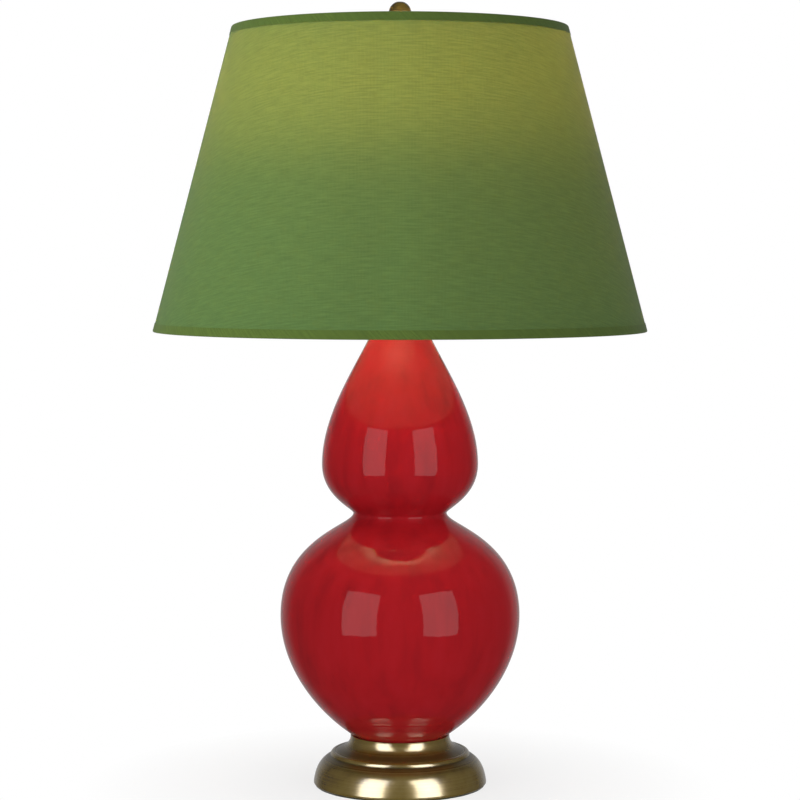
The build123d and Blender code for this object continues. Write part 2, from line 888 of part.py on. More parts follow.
def bulb_side(inset):
    """The glass's outline from inside the cap to the top."""
    throat = (bulb_cap_radius - bulb_cap_wall - fixed_gap - inset, bulb_cap_top - bulb_neck_tuck)
    throat_top = (throat[0], bulb_cap_top + fixed_gap)
    neck = (bulb_neck_radius - inset, bulb_cap_top + bulb_neck_rise)
    widest = (bulb_radius - inset, bulb_top - bulb_widest_drop)
    top = (0, bulb_top - inset)
    return [
        Line(throat, throat_top),
        Line(throat_top, neck),
        Bezier(
            neck,
            polar(neck, bulb_neck_pull, bulb_neck_lean),
            polar(widest, bulb_shoulder_pull, -90),
            widest,
        ),
        quarter_round(widest, top),
    ]


def bulb_glass():
    """Blown envelope with an even wall."""
    outside = bulb_side(0)
    inside = bulb_side(bulb_glass_wall)
    top = Line(outside[-1] @ 1, inside[-1] @ 1)
    bottom = Line(inside[0] @ 0, outside[0] @ 0)
    return turned(*outside, top, *inside, bottom)


def stem_bottom():
    """Where the glass stem starts, at the envelope's open end."""
    return bulb_cap_top - bulb_neck_tuck


def bulb_stem():
    """Flared glass stem that carries the filament."""
    flare = bulb_cap_radius - bulb_cap_wall - 2 * fixed_gap - bulb_glass_wall
    bottom = stem_bottom()
    return turned_points(
        (0, bottom),
        (flare, bottom),
        (bulb_stem_radius, bottom + bulb_stem_flare),
        (bulb_stem_radius, bottom + bulb_stem_length),
        (0, bottom + bulb_stem_length),
    )


def bulb_filament():
    """Two lead wires and the filament bowed between them."""
    foot = stem_bottom() + bulb_stem_length + filament_wire_radius
    top = foot + filament_rise
    half = filament_half_width
    points = [
        (-filament_foot_half, foot),
        (-half / 2, foot + filament_elbow),
        (-half, top),
        (0, top + filament_bow),
        (half, top),
        (half / 2, foot + filament_elbow),
        (filament_foot_half, foot),
    ]
    path = Wire((Plane.XZ * Polyline(*points)).edges())
    section = Plane(origin=path @ 0, z_dir=path % 0) * RegularPolygon(filament_wire_radius, filament_sides)
    return sweep(section, path, transition=Transition.RIGHT)


# ---- shade ----


def shade_radius(height):
    """Outside radius of the cloth at a height."""
    share = (height - shade_bottom) / shade_height
    return shade_bottom_radius + share * (shade_top_radius - shade_bottom_radius)


def cone_wall(outer_inset, inner_inset):
    """A cone's wall between two insets from the cloth's outside."""
    low = shade_bottom
    high = shade_top
    return turned_points(
        (shade_radius(low) - outer_inset, low),
        (shade_radius(high) - outer_inset, high),
        (shade_radius(high) - inner_inset, high),
        (shade_radius(low) - inner_inset, low),
    )


def shade_cloth_cone():
    """The outer cloth."""
    return cone_wall(0, shade_cloth)


def shade_backing_cone():
    """Stiff white backing that the cloth is bonded to."""
    outer = shade_cloth + fixed_gap
    return cone_wall(outer, outer + shade_backing)


def wire_inset():
    """From the cloth's outside to the middle of a rim wire, measured level."""
    slope = math.atan2(shade_bottom_radius - shade_top_radius, shade_height)
    return shade_cloth + shade_backing + 2 * fixed_gap + rim_wire_radius / math.cos(slope)


def rim_wire_height(at_top):
    """Height of a rim wire's middle."""
    return shade_top - rim_wire_radius if at_top else shade_bottom + rim_wire_radius


def rim_wire(at_top):
    """Wire ring inside one edge of the shade."""
    height = rim_wire_height(at_top)
    centre = (shade_radius(height) - wire_inset(), height)
    turns = [(index + 0.5) * 360 / rim_wire_sides for index in range(rim_wire_sides)]
    return turned_points(*[polar(centre, rim_wire_radius, turn) for turn in turns])


def rim_trim(at_top):
    """Cloth tape folded over one edge of the shade and its wire."""
    edge = shade_top if at_top else shade_bottom
    inward = -1 if at_top else 1
    far = edge + inward * trim_height
    near = edge - inward * fixed_gap
    over = near - inward * trim_thickness
    inner_far = edge + inward * 2 * rim_wire_radius
    out = fixed_gap
    inner = wire_inset() + rim_wire_radius + fixed_gap
    return turned_points(
        (shade_radius(far) + out, far),
        (shade_radius(near) + out, near),
        (shade_radius(near) - inner, near),
        (shade_radius(inner_far) - inner, inner_far),
        (shade_radius(inner_far) - inner - trim_thickness, inner_far),
        (shade_radius(over) - inner - trim_thickness, over),
        (shade_radius(over) + out + trim_thickness, over),
        (shade_radius(far) + out + trim_thickness, far),
    )


def shade_hub():
    """Washer that the finial clamps on the harp's stud."""
    return ring(stud_thread_radius + lift_gap, hub_radius, hub_bottom, hub_top)


def shade_arms():
    """Wire arms from the hub out and up to the top wire."""
    height = (hub_bottom + hub_top) / 2
    ring_height = rim_wire_height(True)
    ring_radius = shade_radius(ring_height) - wire_inset()
    points = [
        (hub_radius + fixed_gap, height),
        (ring_radius, height),
        (ring_radius, ring_height - rim_wire_radius - fixed_gap),
    ]
    path = Wire((Plane.XZ * FilletPolyline(*points, radius=arm_bend_radius)).edges())
    section = Plane(origin=path @ 0, z_dir=path % 0) * RegularPolygon(arm_wire_radius, wire_sides)
    arm = sweep(section, path)
    turns = [90 + index * 360 / arm_count for index in range(arm_count)]
    return Compound([Rot(0, 0, turn) * arm for turn in turns])


# ---- finial ----


def finial():
    """Turned finial: a flared base, a slim neck and a ringed ball."""
    base = hub_top
    neck = base + finial_base_height + finial_neck_height
    ball_height = neck + finial_ball_radius - finial_ball_flat
    centre = (0, ball_height)
    start_angle = -math.degrees(math.acos(finial_neck_radius / finial_ball_radius))
    ball_start = polar(centre, finial_ball_radius, start_angle)
    ball_end = polar(centre, finial_ball_radius, finial_crown_angle)
    ball = ThreePointArc(ball_start, polar(centre, finial_ball_radius, 0), ball_end)
    top = (0, ball_end[1] + finial_crown)
    crown = Bezier(ball_end, (ball_end[0] / 2, top[1]), top)
    bore = stud_thread_radius + pivot_gap
    bore_top = hub_bottom + stud_thread_length + finial_thread_room
    neck_curve = Bezier(
        (finial_base_radius, base + finial_base_height),
        (finial_neck_radius, base + finial_base_height),
        (finial_neck_radius, base + finial_base_height + finial_neck_flare),
        ball_start,
    )
    rest = Polyline(
        top,
        (0, bore_top),
        (bore, bore_top),
        (bore, base),
        (finial_base_radius, base),
        (finial_base_radius, base + finial_base_height),
    )
    return turned(neck_curve, ball, crown, rest)


def nodes():
    """Every piece of the lamp by its node's name."""
    return {
        "felt_pad": felt_pad(),
        "brass_foot": brass_foot(),
        "cord_bushing": cord_bushing(),
        "foot_weight": foot_weight(),
        "rod_washer": rod_washer(),
        "rod_lock_washer": rod_lock_washer(),
        "rod_nut": rod_nut(),
        "threaded_rod": threaded_rod(),
        "foot_gasket": foot_gasket(),
        "gourd_body": gourd_body(),
        "neck_gasket": neck_gasket(),
        "vase_cap": vase_cap(),
        "neck_spacer": neck_spacer(),
        "harp_saddle": harp_saddle(),
        "holder_cap": holder_cap(),
        "holder_shell": holder_shell(),
        "holder_liner": holder_liner(),
        "holder_insulator": holder_insulator(),
        "screw_shell": screw_shell(),
        "centre_contact": centre_contact(),
        "terminal_screws": terminal_screws(),
        "switch_stem": switch_stem(),
        "switch_knob": switch_knob(),
        "bulb_tip": bulb_tip(),
        "bulb_insulator": bulb_insulator(),
        "bulb_cap": bulb_cap(),
        "bulb_glass": bulb_glass(),
        "bulb_stem": bulb_stem(),
        "bulb_filament": bulb_filament(),
        "harp_bow": harp_bow(),
        "harp_ferrule_left": harp_ferrule(-1),
        "harp_ferrule_right": harp_ferrule(1),
        "harp_stud": harp_stud(),
        "shade_cloth": shade_cloth_cone(),
        "shade_backing": shade_backing_cone(),
        "shade_top_wire": rim_wire(True),
        "shade_bottom_wire": rim_wire(False),
        "shade_top_trim": rim_trim(True),
        "shade_bottom_trim": rim_trim(False),
        "shade_hub": shade_hub(),
        "shade_arms": shade_arms(),
        "finial": finial(),
    }


os.makedirs("parts", exist_ok=True)
for node, shape in nodes().items():
    export_step(shape, f"parts/{node}.step")
    print(node, round(shape.volume, 1))
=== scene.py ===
# %% [markdown]
# # A double gourd table lamp
# The lamp is a red glazed ceramic gourd on a spun brass foot, under a green cloth shade.
# The solid pieces come from the CAD model as a frame. This lesson gives each one its real
# finish, and models by hand what a CAD model leaves plain: the laminated cloth of the
# shade, its folded tapes, the felt, the screw threads and the fluted ferrules.

import json
import math

import bpy
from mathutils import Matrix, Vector


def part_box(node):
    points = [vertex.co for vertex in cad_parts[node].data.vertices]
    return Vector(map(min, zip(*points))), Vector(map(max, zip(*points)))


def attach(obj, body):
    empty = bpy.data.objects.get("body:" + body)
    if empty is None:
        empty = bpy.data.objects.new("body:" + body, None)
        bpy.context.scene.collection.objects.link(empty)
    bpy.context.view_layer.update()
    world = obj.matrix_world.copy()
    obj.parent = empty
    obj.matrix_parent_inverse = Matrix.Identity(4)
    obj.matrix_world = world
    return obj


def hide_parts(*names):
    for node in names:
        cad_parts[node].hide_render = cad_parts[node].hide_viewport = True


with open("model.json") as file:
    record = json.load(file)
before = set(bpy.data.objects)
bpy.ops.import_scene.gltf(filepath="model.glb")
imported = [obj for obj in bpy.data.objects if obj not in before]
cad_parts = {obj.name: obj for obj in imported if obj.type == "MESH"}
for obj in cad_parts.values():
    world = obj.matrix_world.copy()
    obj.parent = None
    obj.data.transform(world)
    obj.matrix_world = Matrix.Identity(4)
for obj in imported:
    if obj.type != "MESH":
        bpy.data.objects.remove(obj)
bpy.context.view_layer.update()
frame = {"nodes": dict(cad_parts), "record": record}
nodes = frame["nodes"]
bpy.ops.object.select_all(action="DESELECT")

# %% [markdown]
# ## The camera
# A lamp is photographed from a little above the middle of its height, from far enough
# that its sides stay upright. A long lens at two and a half metres gives that, and the
# camera tips down by a few degrees so that both the finial and the foot are in the frame.

# %% The camera
IMAGE_WIDTH = 800
FOCAL_PIXELS = 2440
SENSOR_WIDTH = 36.0
CAMERA_DISTANCE = 2.45
CAMERA_HEIGHT = 0.5407
CAMERA_PITCH = 3.52

camera_data = bpy.data.cameras.new("camera")
camera_data.sensor_width = SENSOR_WIDTH
camera_data.lens = FOCAL_PIXELS / IMAGE_WIDTH * SENSOR_WIDTH
camera = bpy.data.objects.new("camera", camera_data)
camera.location = (0, -CAMERA_DISTANCE, CAMERA_HEIGHT)
camera.rotation_euler = (math.radians(90 - CAMERA_PITCH), 0, 0)
bpy.context.collection.objects.link(camera)
bpy.context.scene.camera = camera
bpy.context.scene.view_settings.view_transform = "Standard"
print("camera: lens", round(camera_data.lens, 1), "mm")

# %% [markdown]
# ## Colours and nodes
# A colour picked from a screen is in sRGB, while shaders work in linear light, so one
# function turns a hex colour into linear values. One small function adds any node: it
# sets the node's options, fills its sockets, and gives a colour ramp its stops. A socket
# takes a value, another node's output, or a node, which stands for its first working
# output. A last one starts a material, and every finish below is built from these.

# %% Helpers for finishes
MM = 0.001
TINY = 0.001 * MM
NOISE_RANGE = {"From Min": 0.3, "From Max": 0.7}  # nearly all of a noise lies in it
finishes = {}


def linear(colour):
    """An sRGB hex colour as linear red, green, blue and a full alpha."""
    parts = [int(colour[index:index + 2], 16) / 255 for index in (1, 3, 5)]
    return (*(p / 12.92 if p <= 0.04045 else ((p + 0.055) / 1.055) ** 2.4 for p in parts), 1.0)


def add(tree, kind, inputs=None, stops=(), **settings):
    """Adds a node with its settings, its inputs and a ramp's (position, hex colour) stops."""
    node = tree.nodes.new("ShaderNode" + kind)
    for name, value in settings.items():
        setattr(node, name, value)
    for key, value in (inputs or {}).items():
        if isinstance(value, bpy.types.Node):
            value = next(socket for socket in value.outputs if socket.enabled)
        if isinstance(value, bpy.types.NodeSocket):
            tree.links.new(value, node.inputs[key])
        else:
            node.inputs[key].default_value = value
    if stops:
        elements = node.color_ramp.elements
        while len(elements) < len(stops):
            elements.new(0.5)
        for element, (position, colour) in zip(elements, stops):
            element.position = position
            element.color = linear(colour)
    return node


def start_finish(name):
    """A new material, its empty node tree and the place of a point on its piece in metres."""
    material = bpy.data.materials.new(name)
    material.use_nodes = True
    tree = material.node_tree
    tree.nodes.clear()
    return material, tree, add(tree, "TexCoord").outputs["Object"]


# %% [markdown]
# ## The red glaze
# The gourd is thrown stoneware under a thick gloss glaze. A glaze is a coloured glass:
# its colour comes from below a hard, smooth skin, so the base is a plain deep red and
# the skin gives sharp reflections. While it melts, the glaze runs a little and thins
# over the swelling parts, so the red shifts slightly in soft upright runs, and its skin
# keeps a faint ripple like orange peel.

# %% Ruby glaze
GLAZE_COLOURS = [(0.25, "#A21A22"), (0.5, "#B41C24"), (0.8, "#BA202A")]
GLAZE_RUN = (16 * MM, 16 * MM, 110 * MM)
GLAZE_GLOSS = {"To Min": 0.035, "To Max": 0.06}
GLAZE_IOR = 1.43
GLAZE_RIPPLE = 7 * MM
GLAZE_RIPPLE_DEPTH = 0.03 * MM


def ruby_glaze():
    """Gloss glaze on stoneware, dipped and fired: an even red under clear glass."""
    material, tree, place = start_finish("ruby_gloss_glaze")
    drawn = add(tree, "Mapping", {"Vector": place, "Scale": [1 / size for size in GLAZE_RUN]})
    runs = add(tree, "TexNoise", {"Vector": drawn, "Scale": 1.0, "Detail": 3.0})
    gloss = add(tree, "MapRange", {"Value": runs, **GLAZE_GLOSS})
    ripple = add(tree, "TexNoise", {"Vector": place, "Scale": 1 / GLAZE_RIPPLE, "Detail": 1.0})
    shader = {
        "Base Color": add(tree, "ValToRGB", {"Fac": runs}, GLAZE_COLOURS),
        "Roughness": gloss,
        "IOR": GLAZE_IOR,
        "Normal": add(tree, "Bump", {"Height": ripple, "Distance": GLAZE_RIPPLE_DEPTH}),
    }
    add(tree, "OutputMaterial", {"Surface": add(tree, "BsdfPrincipled", shader)})
    return material


finishes["ruby_glaze"] = ruby_glaze()
print("glaze: runs of", *(round(size / MM) for size in GLAZE_RUN), "mm")

# %% [markdown]
# ## Antique brass
# The foot is spun from brass sheet on a lathe, darkened in a bath, rubbed back and
# lacquered. That leaves a satin skin with very fine lines that run round the piece. The
# lines are noise that changes with the radius and the height only, so they close round
# the turn. The brown skin is an oxide, so most of it shines like lacquer and only a part
# like metal. A rubbing rag doesn't reach into the foot's steps, so the patina is held
# there, duller and bare of lacquer. Those steps are painted very dark, partly for that
# patina and partly as painted shade. A ramp over the foot's height says where that is.

# %% Antique brass
BRASS_COLOURS = [(0.0, "#5C4A22"), (0.45, "#86702C"), (1.0, "#9C8844")]
BRASS_PATCHES = {"From Min": 0.7, "From Max": 1.3}  # of two noises added together
BRASS_GLOSS = {"To Min": 0.17, "To Max": 0.24}
BRASS_METAL = {"To Min": 0.2, "To Max": 0.35}
LACQUER_ROUGHNESS = 0.2
LACQUER_IOR = 1.6
SPUN_LINE = 0.9 * MM  # real lines are a few hundredths, too fine to show
SPUN_LINE_DEPTH = 0.004 * MM
PATINA_CLOUD = 24 * MM
# The steps' dark colour: partly patina, partly painted shade.
PATINA_AND_SHADE_COLOUR = "#1E1C06"
PATINA_DULLER = 0.15
PATINA_AND_SHADE_HEIGHTS = {"From Min": 22 * MM, "From Max": 44 * MM}
NO_BAND = "#000000"
DARK_BAND = "#D8D8D8"
PATINA_AND_SHADE_BANDS = [
    *((0.0, NO_BAND), (0.33, DARK_BAND), (0.40, DARK_BAND), (0.44, NO_BAND)),
    *((0.54, NO_BAND), (0.60, DARK_BAND), (0.70, DARK_BAND), (1.0, NO_BAND)),
]


def around_axis(tree, place):
    """A position made of a point's radius and height only, and that height by itself."""
    apart = add(tree, "SeparateXYZ", {"Vector": place}).outputs
    flat = add(tree, "CombineXYZ", {"X": apart["X"], "Y": apart["Y"]})
    radius = add(tree, "VectorMath", {0: flat}, operation="LENGTH")
    return add(tree, "CombineXYZ", {"X": radius, "Y": apart["Z"]}), apart["Z"]


def antique_brass():
    """Spun brass, dipped, rubbed back, lacquered; patina and painted shade in its steps."""
    material, tree, place = start_finish("antique_spun_brass")
    turned_place, height = around_axis(tree, place)
    fine = {"Scale": 1 / SPUN_LINE, "Detail": 3.0, "Roughness": 0.7}
    lines = add(tree, "TexNoise", {"Vector": turned_place, **fine})
    soft = {"Scale": 1 / PATINA_CLOUD, "Detail": 4.0, "Roughness": 0.6}
    clouds = add(tree, "TexNoise", {"Vector": place, **soft})
    both = add(tree, "Math", {0: lines, 1: clouds}, operation="ADD")
    rubbed = add(tree, "MapRange", {"Value": both, **BRASS_PATCHES})
    skin = add(tree, "ValToRGB", {"Fac": rubbed}, BRASS_COLOURS)
    steps = add(tree, "MapRange", {"Value": height, **PATINA_AND_SHADE_HEIGHTS})
    # Where the steps are painted dark: partly patina, partly painted shade.
    patina_and_shade = add(tree, "ValToRGB", {"Fac": steps}, PATINA_AND_SHADE_BANDS)
    colour = {"Factor": patina_and_shade, "A": skin, "B": linear(PATINA_AND_SHADE_COLOUR)}
    satin = add(tree, "MapRange", {"Value": lines, **NOISE_RANGE, **BRASS_GLOSS})
    duller = add(tree, "MapRange", {"Value": patina_and_shade, "To Max": PATINA_DULLER})
    shader = {
        "Base Color": add(tree, "Mix", colour, data_type="RGBA"),
        "Metallic": add(tree, "MapRange", {"Value": rubbed, **BRASS_METAL}),
        "Roughness": add(tree, "Math", {0: satin, 1: duller}, operation="ADD"),
        "Coat Weight": add(tree, "MapRange", {"Value": patina_and_shade, "To Min": 1.0, "To Max": 0.0}),
        "Coat Roughness": LACQUER_ROUGHNESS,
        "Coat IOR": LACQUER_IOR,
        "Normal": add(tree, "Bump", {"Height": lines, "Distance": SPUN_LINE_DEPTH}),
    }
    add(tree, "OutputMaterial", {"Surface": add(tree, "BsdfPrincipled", shader)})
    return material


finishes["antique_brass"] = antique_brass()
print("brass: lines of", SPUN_LINE / MM, "mm and clouds of", PATINA_CLOUD / MM, "mm")

# %% [markdown]
# ## Plated, moulded and cast pieces
# The harp, the lampholder and the shade's spider are brass-plated steel, polished before
# plating, so they are smooth with only faint scuffs. The rim wires, the lamp pipe and
# its washers are zinc-plated, bluish grey with a fine mottle, and the bulb's cap and its
# shell are drawn aluminium. Phenolic and nylon come out of their moulds slightly uneven
# and semi-matt, fibre board shows its pressed fibres, felt and rubber are dull, and the
# hidden iron weight keeps the grain of its sand mould. In the bulb, moulded glass is
# smooth and shiny, the drawn filament is grey and the tip's solder is dull. They differ
# in colour, gloss, metal and the size of their grain, so one function makes them all
# from a table of those facts.

# %% Plain finishes
# Slot: name, dark and light colour, roughness, size and depth of the grain in mm, metal.
PLAIN_FINISHES = {
    "felt": ("dense_wool_felt", "#1F2A20", "#35433A", (0.9, 1.0), 0.8, 0.2, 0),
    "bushing_plastic": ("moulded_nylon", "#2A241C", "#332C22", (0.4, 0.55), 2, 0.02, 0),
    "cast_iron": ("sand_cast_iron", "#3A3A3C", "#4A4A4C", (0.6, 0.8), 1.5, 0.2, 0),
    "zinc_steel": ("zinc_plated_steel", "#B4B7B8", "#C9CCCC", (0.22, 0.36), 1.2, 0.01, 1),
    "gasket_rubber": ("sheet_rubber", "#161616", "#232322", (0.7, 0.85), 1, 0.03, 0),
    "plated_brass": ("polished_brass_plate", "#C7A560", "#D8B871", (0.12, 0.22), 5, 0.004, 1),
    "fibre_board": ("pressed_fibre_board", "#5B4632", "#745B41", (0.8, 0.9), 0.7, 0.05, 0),
    "phenolic": ("black_phenolic", "#101010", "#1C1B1A", (0.25, 0.4), 3, 0.01, 0),
    "aluminium_shell": ("drawn_aluminium", "#C6C8CA", "#DADCDD", (0.2, 0.34), 2, 0.01, 1),
    "solder": ("tinned_contact", "#8E9092", "#A6A8AA", (0.4, 0.55), 1, 0.03, 1),
    "black_glass": ("black_moulded_glass", "#08080A", "#101014", (0.08, 0.15), 3, 0.01, 0),
    "clear_glass": ("pressed_glass_stem", "#D8DEDC", "#E6EAE8", (0.05, 0.1), 4, 0.01, 0),
    "tungsten": ("drawn_tungsten", "#6E6A66", "#807C78", (0.3, 0.45), 0.5, 0.01, 1),
}


def plain_finish(name, dark, light, roughness, grain_size, depth, metal):
    """A finish with a grain in its colour, gloss and surface."""
    material, tree, place = start_finish(name)
    pattern = {"Scale": 1 / (grain_size * MM), "Detail": 4.0, "Roughness": 0.6}
    grain = add(tree, "TexNoise", {"Vector": place, **pattern})
    gloss = {"Value": grain, **NOISE_RANGE, "To Min": roughness[0], "To Max": roughness[1]}
    shader = {
        "Base Color": add(tree, "ValToRGB", {"Fac": grain}, [(0.3, dark), (0.7, light)]),
        "Metallic": metal,
        "Roughness": add(tree, "MapRange", gloss),
        "Normal": add(tree, "Bump", {"Height": grain, "Distance": depth * MM}),
    }
    add(tree, "OutputMaterial", {"Surface": add(tree, "BsdfPrincipled", shader)})
    return material


for slot, facts in PLAIN_FINISHES.items():
    finishes[slot] = plain_finish(*facts)
print("plain finishes:", len(PLAIN_FINISHES))

# %% [markdown]
# ## The shade's cloth
# The cloth is a plain-weave cotton and linen, dyed green and glued to thin white
# styrene. Its yarns are uneven: now and then one thickens into a slub, which shows as a
# short level streak. Light from the bulb passes through, warm because the thin backing
# and the yarns scatter it, so the cloth is part diffuse and part translucent. The pattern
# follows a UV map that is the flat cloth in metres. The rims' tape is the same kind of
# cloth in a deeper green, cut on the bias, so its pattern is turned.

# %% The weave
YARN = 1.3 * MM  # real yarns are 0.5 mm apart, too fine to show
SLUB_LENGTH = 20 * MM
SLUB_WIDTH = 1.4 * MM
UPRIGHT_SLUB_LENGTH = 12 * MM
UPRIGHT_SHARE = 0.18
WEAVE_SHARE = 0.2


def woven(tree, flat):
    """Height of a plain weave, from 0 to 1, on a position in metres."""
    apart = add(tree, "SeparateXYZ", {"Vector": flat}).outputs
    waves = []
    for axis in ("X", "Y"):
        turn = add(tree, "Math", {0: apart[axis], 1: math.pi / YARN}, operation="MULTIPLY")
        wave = add(tree, "Math", {0: turn}, operation="SINE")
        waves.append(add(tree, "Math", {0: wave}, operation="ABSOLUTE"))
    return add(tree, "Math", {0: waves[0], 1: waves[1]}, operation="MULTIPLY")


def slubs(tree, flat):
    """Where yarns thicken, as level streaks with a few upright ones, from 0 to 1."""
    streaks = []
    sizes = ((SLUB_LENGTH, SLUB_WIDTH, 1), (SLUB_WIDTH, UPRIGHT_SLUB_LENGTH, 1))
    for size, detail in zip(sizes, (3.0, 2.0)):
        drawn = add(tree, "Mapping", {"Vector": flat, "Scale": [1 / side for side in size]})
        pattern = {"Vector": drawn, "Scale": 1.0, "Detail": detail, "Roughness": 0.6}
        streaks.append(add(tree, "TexNoise", pattern))
    inputs = {"Factor": UPRIGHT_SHARE, "A": streaks[0], "B": streaks[1]}
    return add(tree, "Mix", inputs, data_type="FLOAT")


# %% Green cloth
CLOTH_COLOURS = [(0.36, "#4D703E"), (0.64, "#577F46")]
CLOTH_THROUGH_SHARE = 0.22
TAPE_COLOURS = [(0.36, "#4E6429"), (0.64, "#607831")]
TAPE_THROUGH_SHARE = 0.12
BIAS = math.radians(45)
LIGHT_THROUGH = "#B6B44C"
GLOW_TONE = {"From Min": 0.4, "From Max": 0.6, "To Min": 0.8, "To Max": 1.16}
WEAVE_DEPTH = 0.06 * MM


def green_cloth(name, colours, through_share, turned=0.0):
    """Plain-weave cloth on a flat UV map, its yarns turned by an angle for bias tape."""
    material, tree = start_finish(name)[:2]
    unrolled = add(tree, "UVMap", uv_map="flat")
    flat = add(tree, "Mapping", {"Vector": unrolled, "Rotation": (0, 0, turned)})
    yarns = {"Factor": WEAVE_SHARE, "A": slubs(tree, flat), "B": woven(tree, flat)}
    tone = add(tree, "Mix", yarns, data_type="FLOAT")
    front = {
        "Base Color": add(tree, "ValToRGB", {"Fac": tone}, colours),
        "Roughness": 0.9,
        "Sheen Weight": 0.25,
        "Sheen Roughness": 0.4,
        "Normal": add(tree, "Bump", {"Height": tone, "Distance": WEAVE_DEPTH}),
    }
    thin = add(tree, "MapRange", {"Value": tone, **GLOW_TONE})
    glow = {"Factor": 1.0, "A": linear(LIGHT_THROUGH), "B": thin}
    colour = add(tree, "Mix", glow, data_type="RGBA", blend_type="MULTIPLY")
    both = {
        "Fac": through_share,
        1: add(tree, "BsdfPrincipled", front),
        2: add(tree, "BsdfTranslucent", {"Color": colour}),
    }
    add(tree, "OutputMaterial", {"Surface": add(tree, "MixShader", both)})
    return material


finishes["green_linen"] = green_cloth("green_slub_cloth", CLOTH_COLOURS, CLOTH_THROUGH_SHARE)
finishes["green_tape"] = green_cloth("green_bias_tape", TAPE_COLOURS, TAPE_THROUGH_SHARE, BIAS)
print("cloth: yarns of", YARN / MM, "mm and slubs of", SLUB_LENGTH / MM, "mm")

# %% [markdown]
# ## The styrene and the lit bulb
# The cloth's backing is extruded styrene, white, slightly cloudy and lit through. The
# bulb is frosted inside, so when it is on, the whole envelope glows evenly and warm. Its
# surface gives off light of its own, and lamps inside do the lighting, which renders with
# less noise than a glowing mesh.

# %% Styrene and frosted glass
STYRENE_COLOURS = [(0.3, "#E3E2D8"), (0.7, "#EDECE3")]
STYRENE_HAZE = 9 * MM
STYRENE_GLOSS = {"To Min": 0.45, "To Max": 0.6}
STYRENE_THROUGH = "#F4F1E2"
STYRENE_THROUGH_SHARE = 0.35
FROST_COLOURS = [(0.3, "#F0EBDD"), (0.7, "#F7F4EA")]
FROST_MOTTLE = 6 * MM
BULB_GLOW = "#FFE2B0"
BULB_BRIGHTNESS = 1.1


def white_styrene():
    """Extruded styrene sheet, white and slightly cloudy, that the cloth is glued to."""
    material, tree, place = start_finish("white_styrene_sheet")
    haze = add(tree, "TexNoise", {"Vector": place, "Scale": 1 / STYRENE_HAZE, "Detail": 3.0})
    gloss = {"Value": haze, **NOISE_RANGE, **STYRENE_GLOSS}
    front = {
        "Base Color": add(tree, "ValToRGB", {"Fac": haze}, STYRENE_COLOURS),
        "Roughness": add(tree, "MapRange", gloss),
    }
    both = {
        "Fac": STYRENE_THROUGH_SHARE,
        1: add(tree, "BsdfPrincipled", front),
        2: add(tree, "BsdfTranslucent", {"Color": linear(STYRENE_THROUGH)}),
    }
    add(tree, "OutputMaterial", {"Surface": add(tree, "MixShader", both)})
    return material


def frosted_glass():
    """Inside-frosted glass with the lamp on."""
    material, tree, place = start_finish("frosted_bulb_glass")
    mottle = add(tree, "TexNoise", {"Vector": place, "Scale": 1 / FROST_MOTTLE, "Detail": 2.0})
    shader = {
        "Base Color": add(tree, "ValToRGB", {"Fac": mottle}, FROST_COLOURS),
        "Roughness": 0.35,
        "Emission Color": linear(BULB_GLOW),
        "Emission Strength": BULB_BRIGHTNESS,
    }
    add(tree, "OutputMaterial", {"Surface": add(tree, "BsdfPrincipled", shader)})
    return material


finishes["white_styrene"] = white_styrene()
finishes["frosted_glass"] = frosted_glass()
print("bulb: glow", BULB_BRIGHTNESS)

# %% [markdown]
# ## Dressing the CAD pieces
# Each CAD piece that already has the right shape keeps its mesh and gets the finish
# that the record's slot names.

# %% Finishes by slot
for entry in frame["record"]["subparts"]:
    for slot in nodes[entry["node"]].material_slots:
        slot.material = finishes[entry["material_slot"]]

# %% [markdown]
# ## The shade's laminated cone
# The cloth and its styrene are cut together from the flat as one sector of a ring, rolled
# up and glued where the ends lap at the back. So the cone is one sheet: its outside is
# cloth, its inside is styrene, and at the lap the outer end stands proud by the sheet's
# thickness. Its measures come from the CAD cone, and the flat sector's from them: a
# cone's slope, carried on to its tip, is the radius of the ring that it is cut from.

# %% The cone's measures
AT_EDGE = 0.01 * MM
LAP = 11 * MM
LAP_EASE = 4 * MM
cloth_low, cloth_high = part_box("shade_cloth")
shade_bottom = cloth_low.z
shade_top = cloth_high.z


def edge_radii(node, height):
    """The smallest and the largest radius of a node's points at a height."""
    points = [vertex.co for vertex in nodes[node].data.vertices]
    reach = [point.to_2d().length for point in points if abs(point.z - height) < AT_EDGE]
    return min(reach), max(reach)


bottom_radius = edge_radii("shade_cloth", shade_bottom)[1]
top_radius = edge_radii("shade_cloth", shade_top)[1]
sheet_thickness = bottom_radius - edge_radii("shade_backing", shade_bottom)[0]
slope_length = math.hypot(bottom_radius - top_radius, shade_top - shade_bottom)
flat_outer = bottom_radius * slope_length / (bottom_radius - top_radius)
sector = 2 * math.pi * bottom_radius / flat_outer
print("shade: bottom", round(bottom_radius, 4), "m, top", round(top_radius, 4), "m")

# %% [markdown]
# ## Rolling a sheet
# A rolled sheet is a grid of points placed by a formula, and the same grid laid out flat
# is its UV map. A modifier then gives it its thickness. The cone and both tapes are made
# this way, and all of them lap at the back, where the outer end climbs over the inner.

# %% Helpers for sheets
AROUND = 256


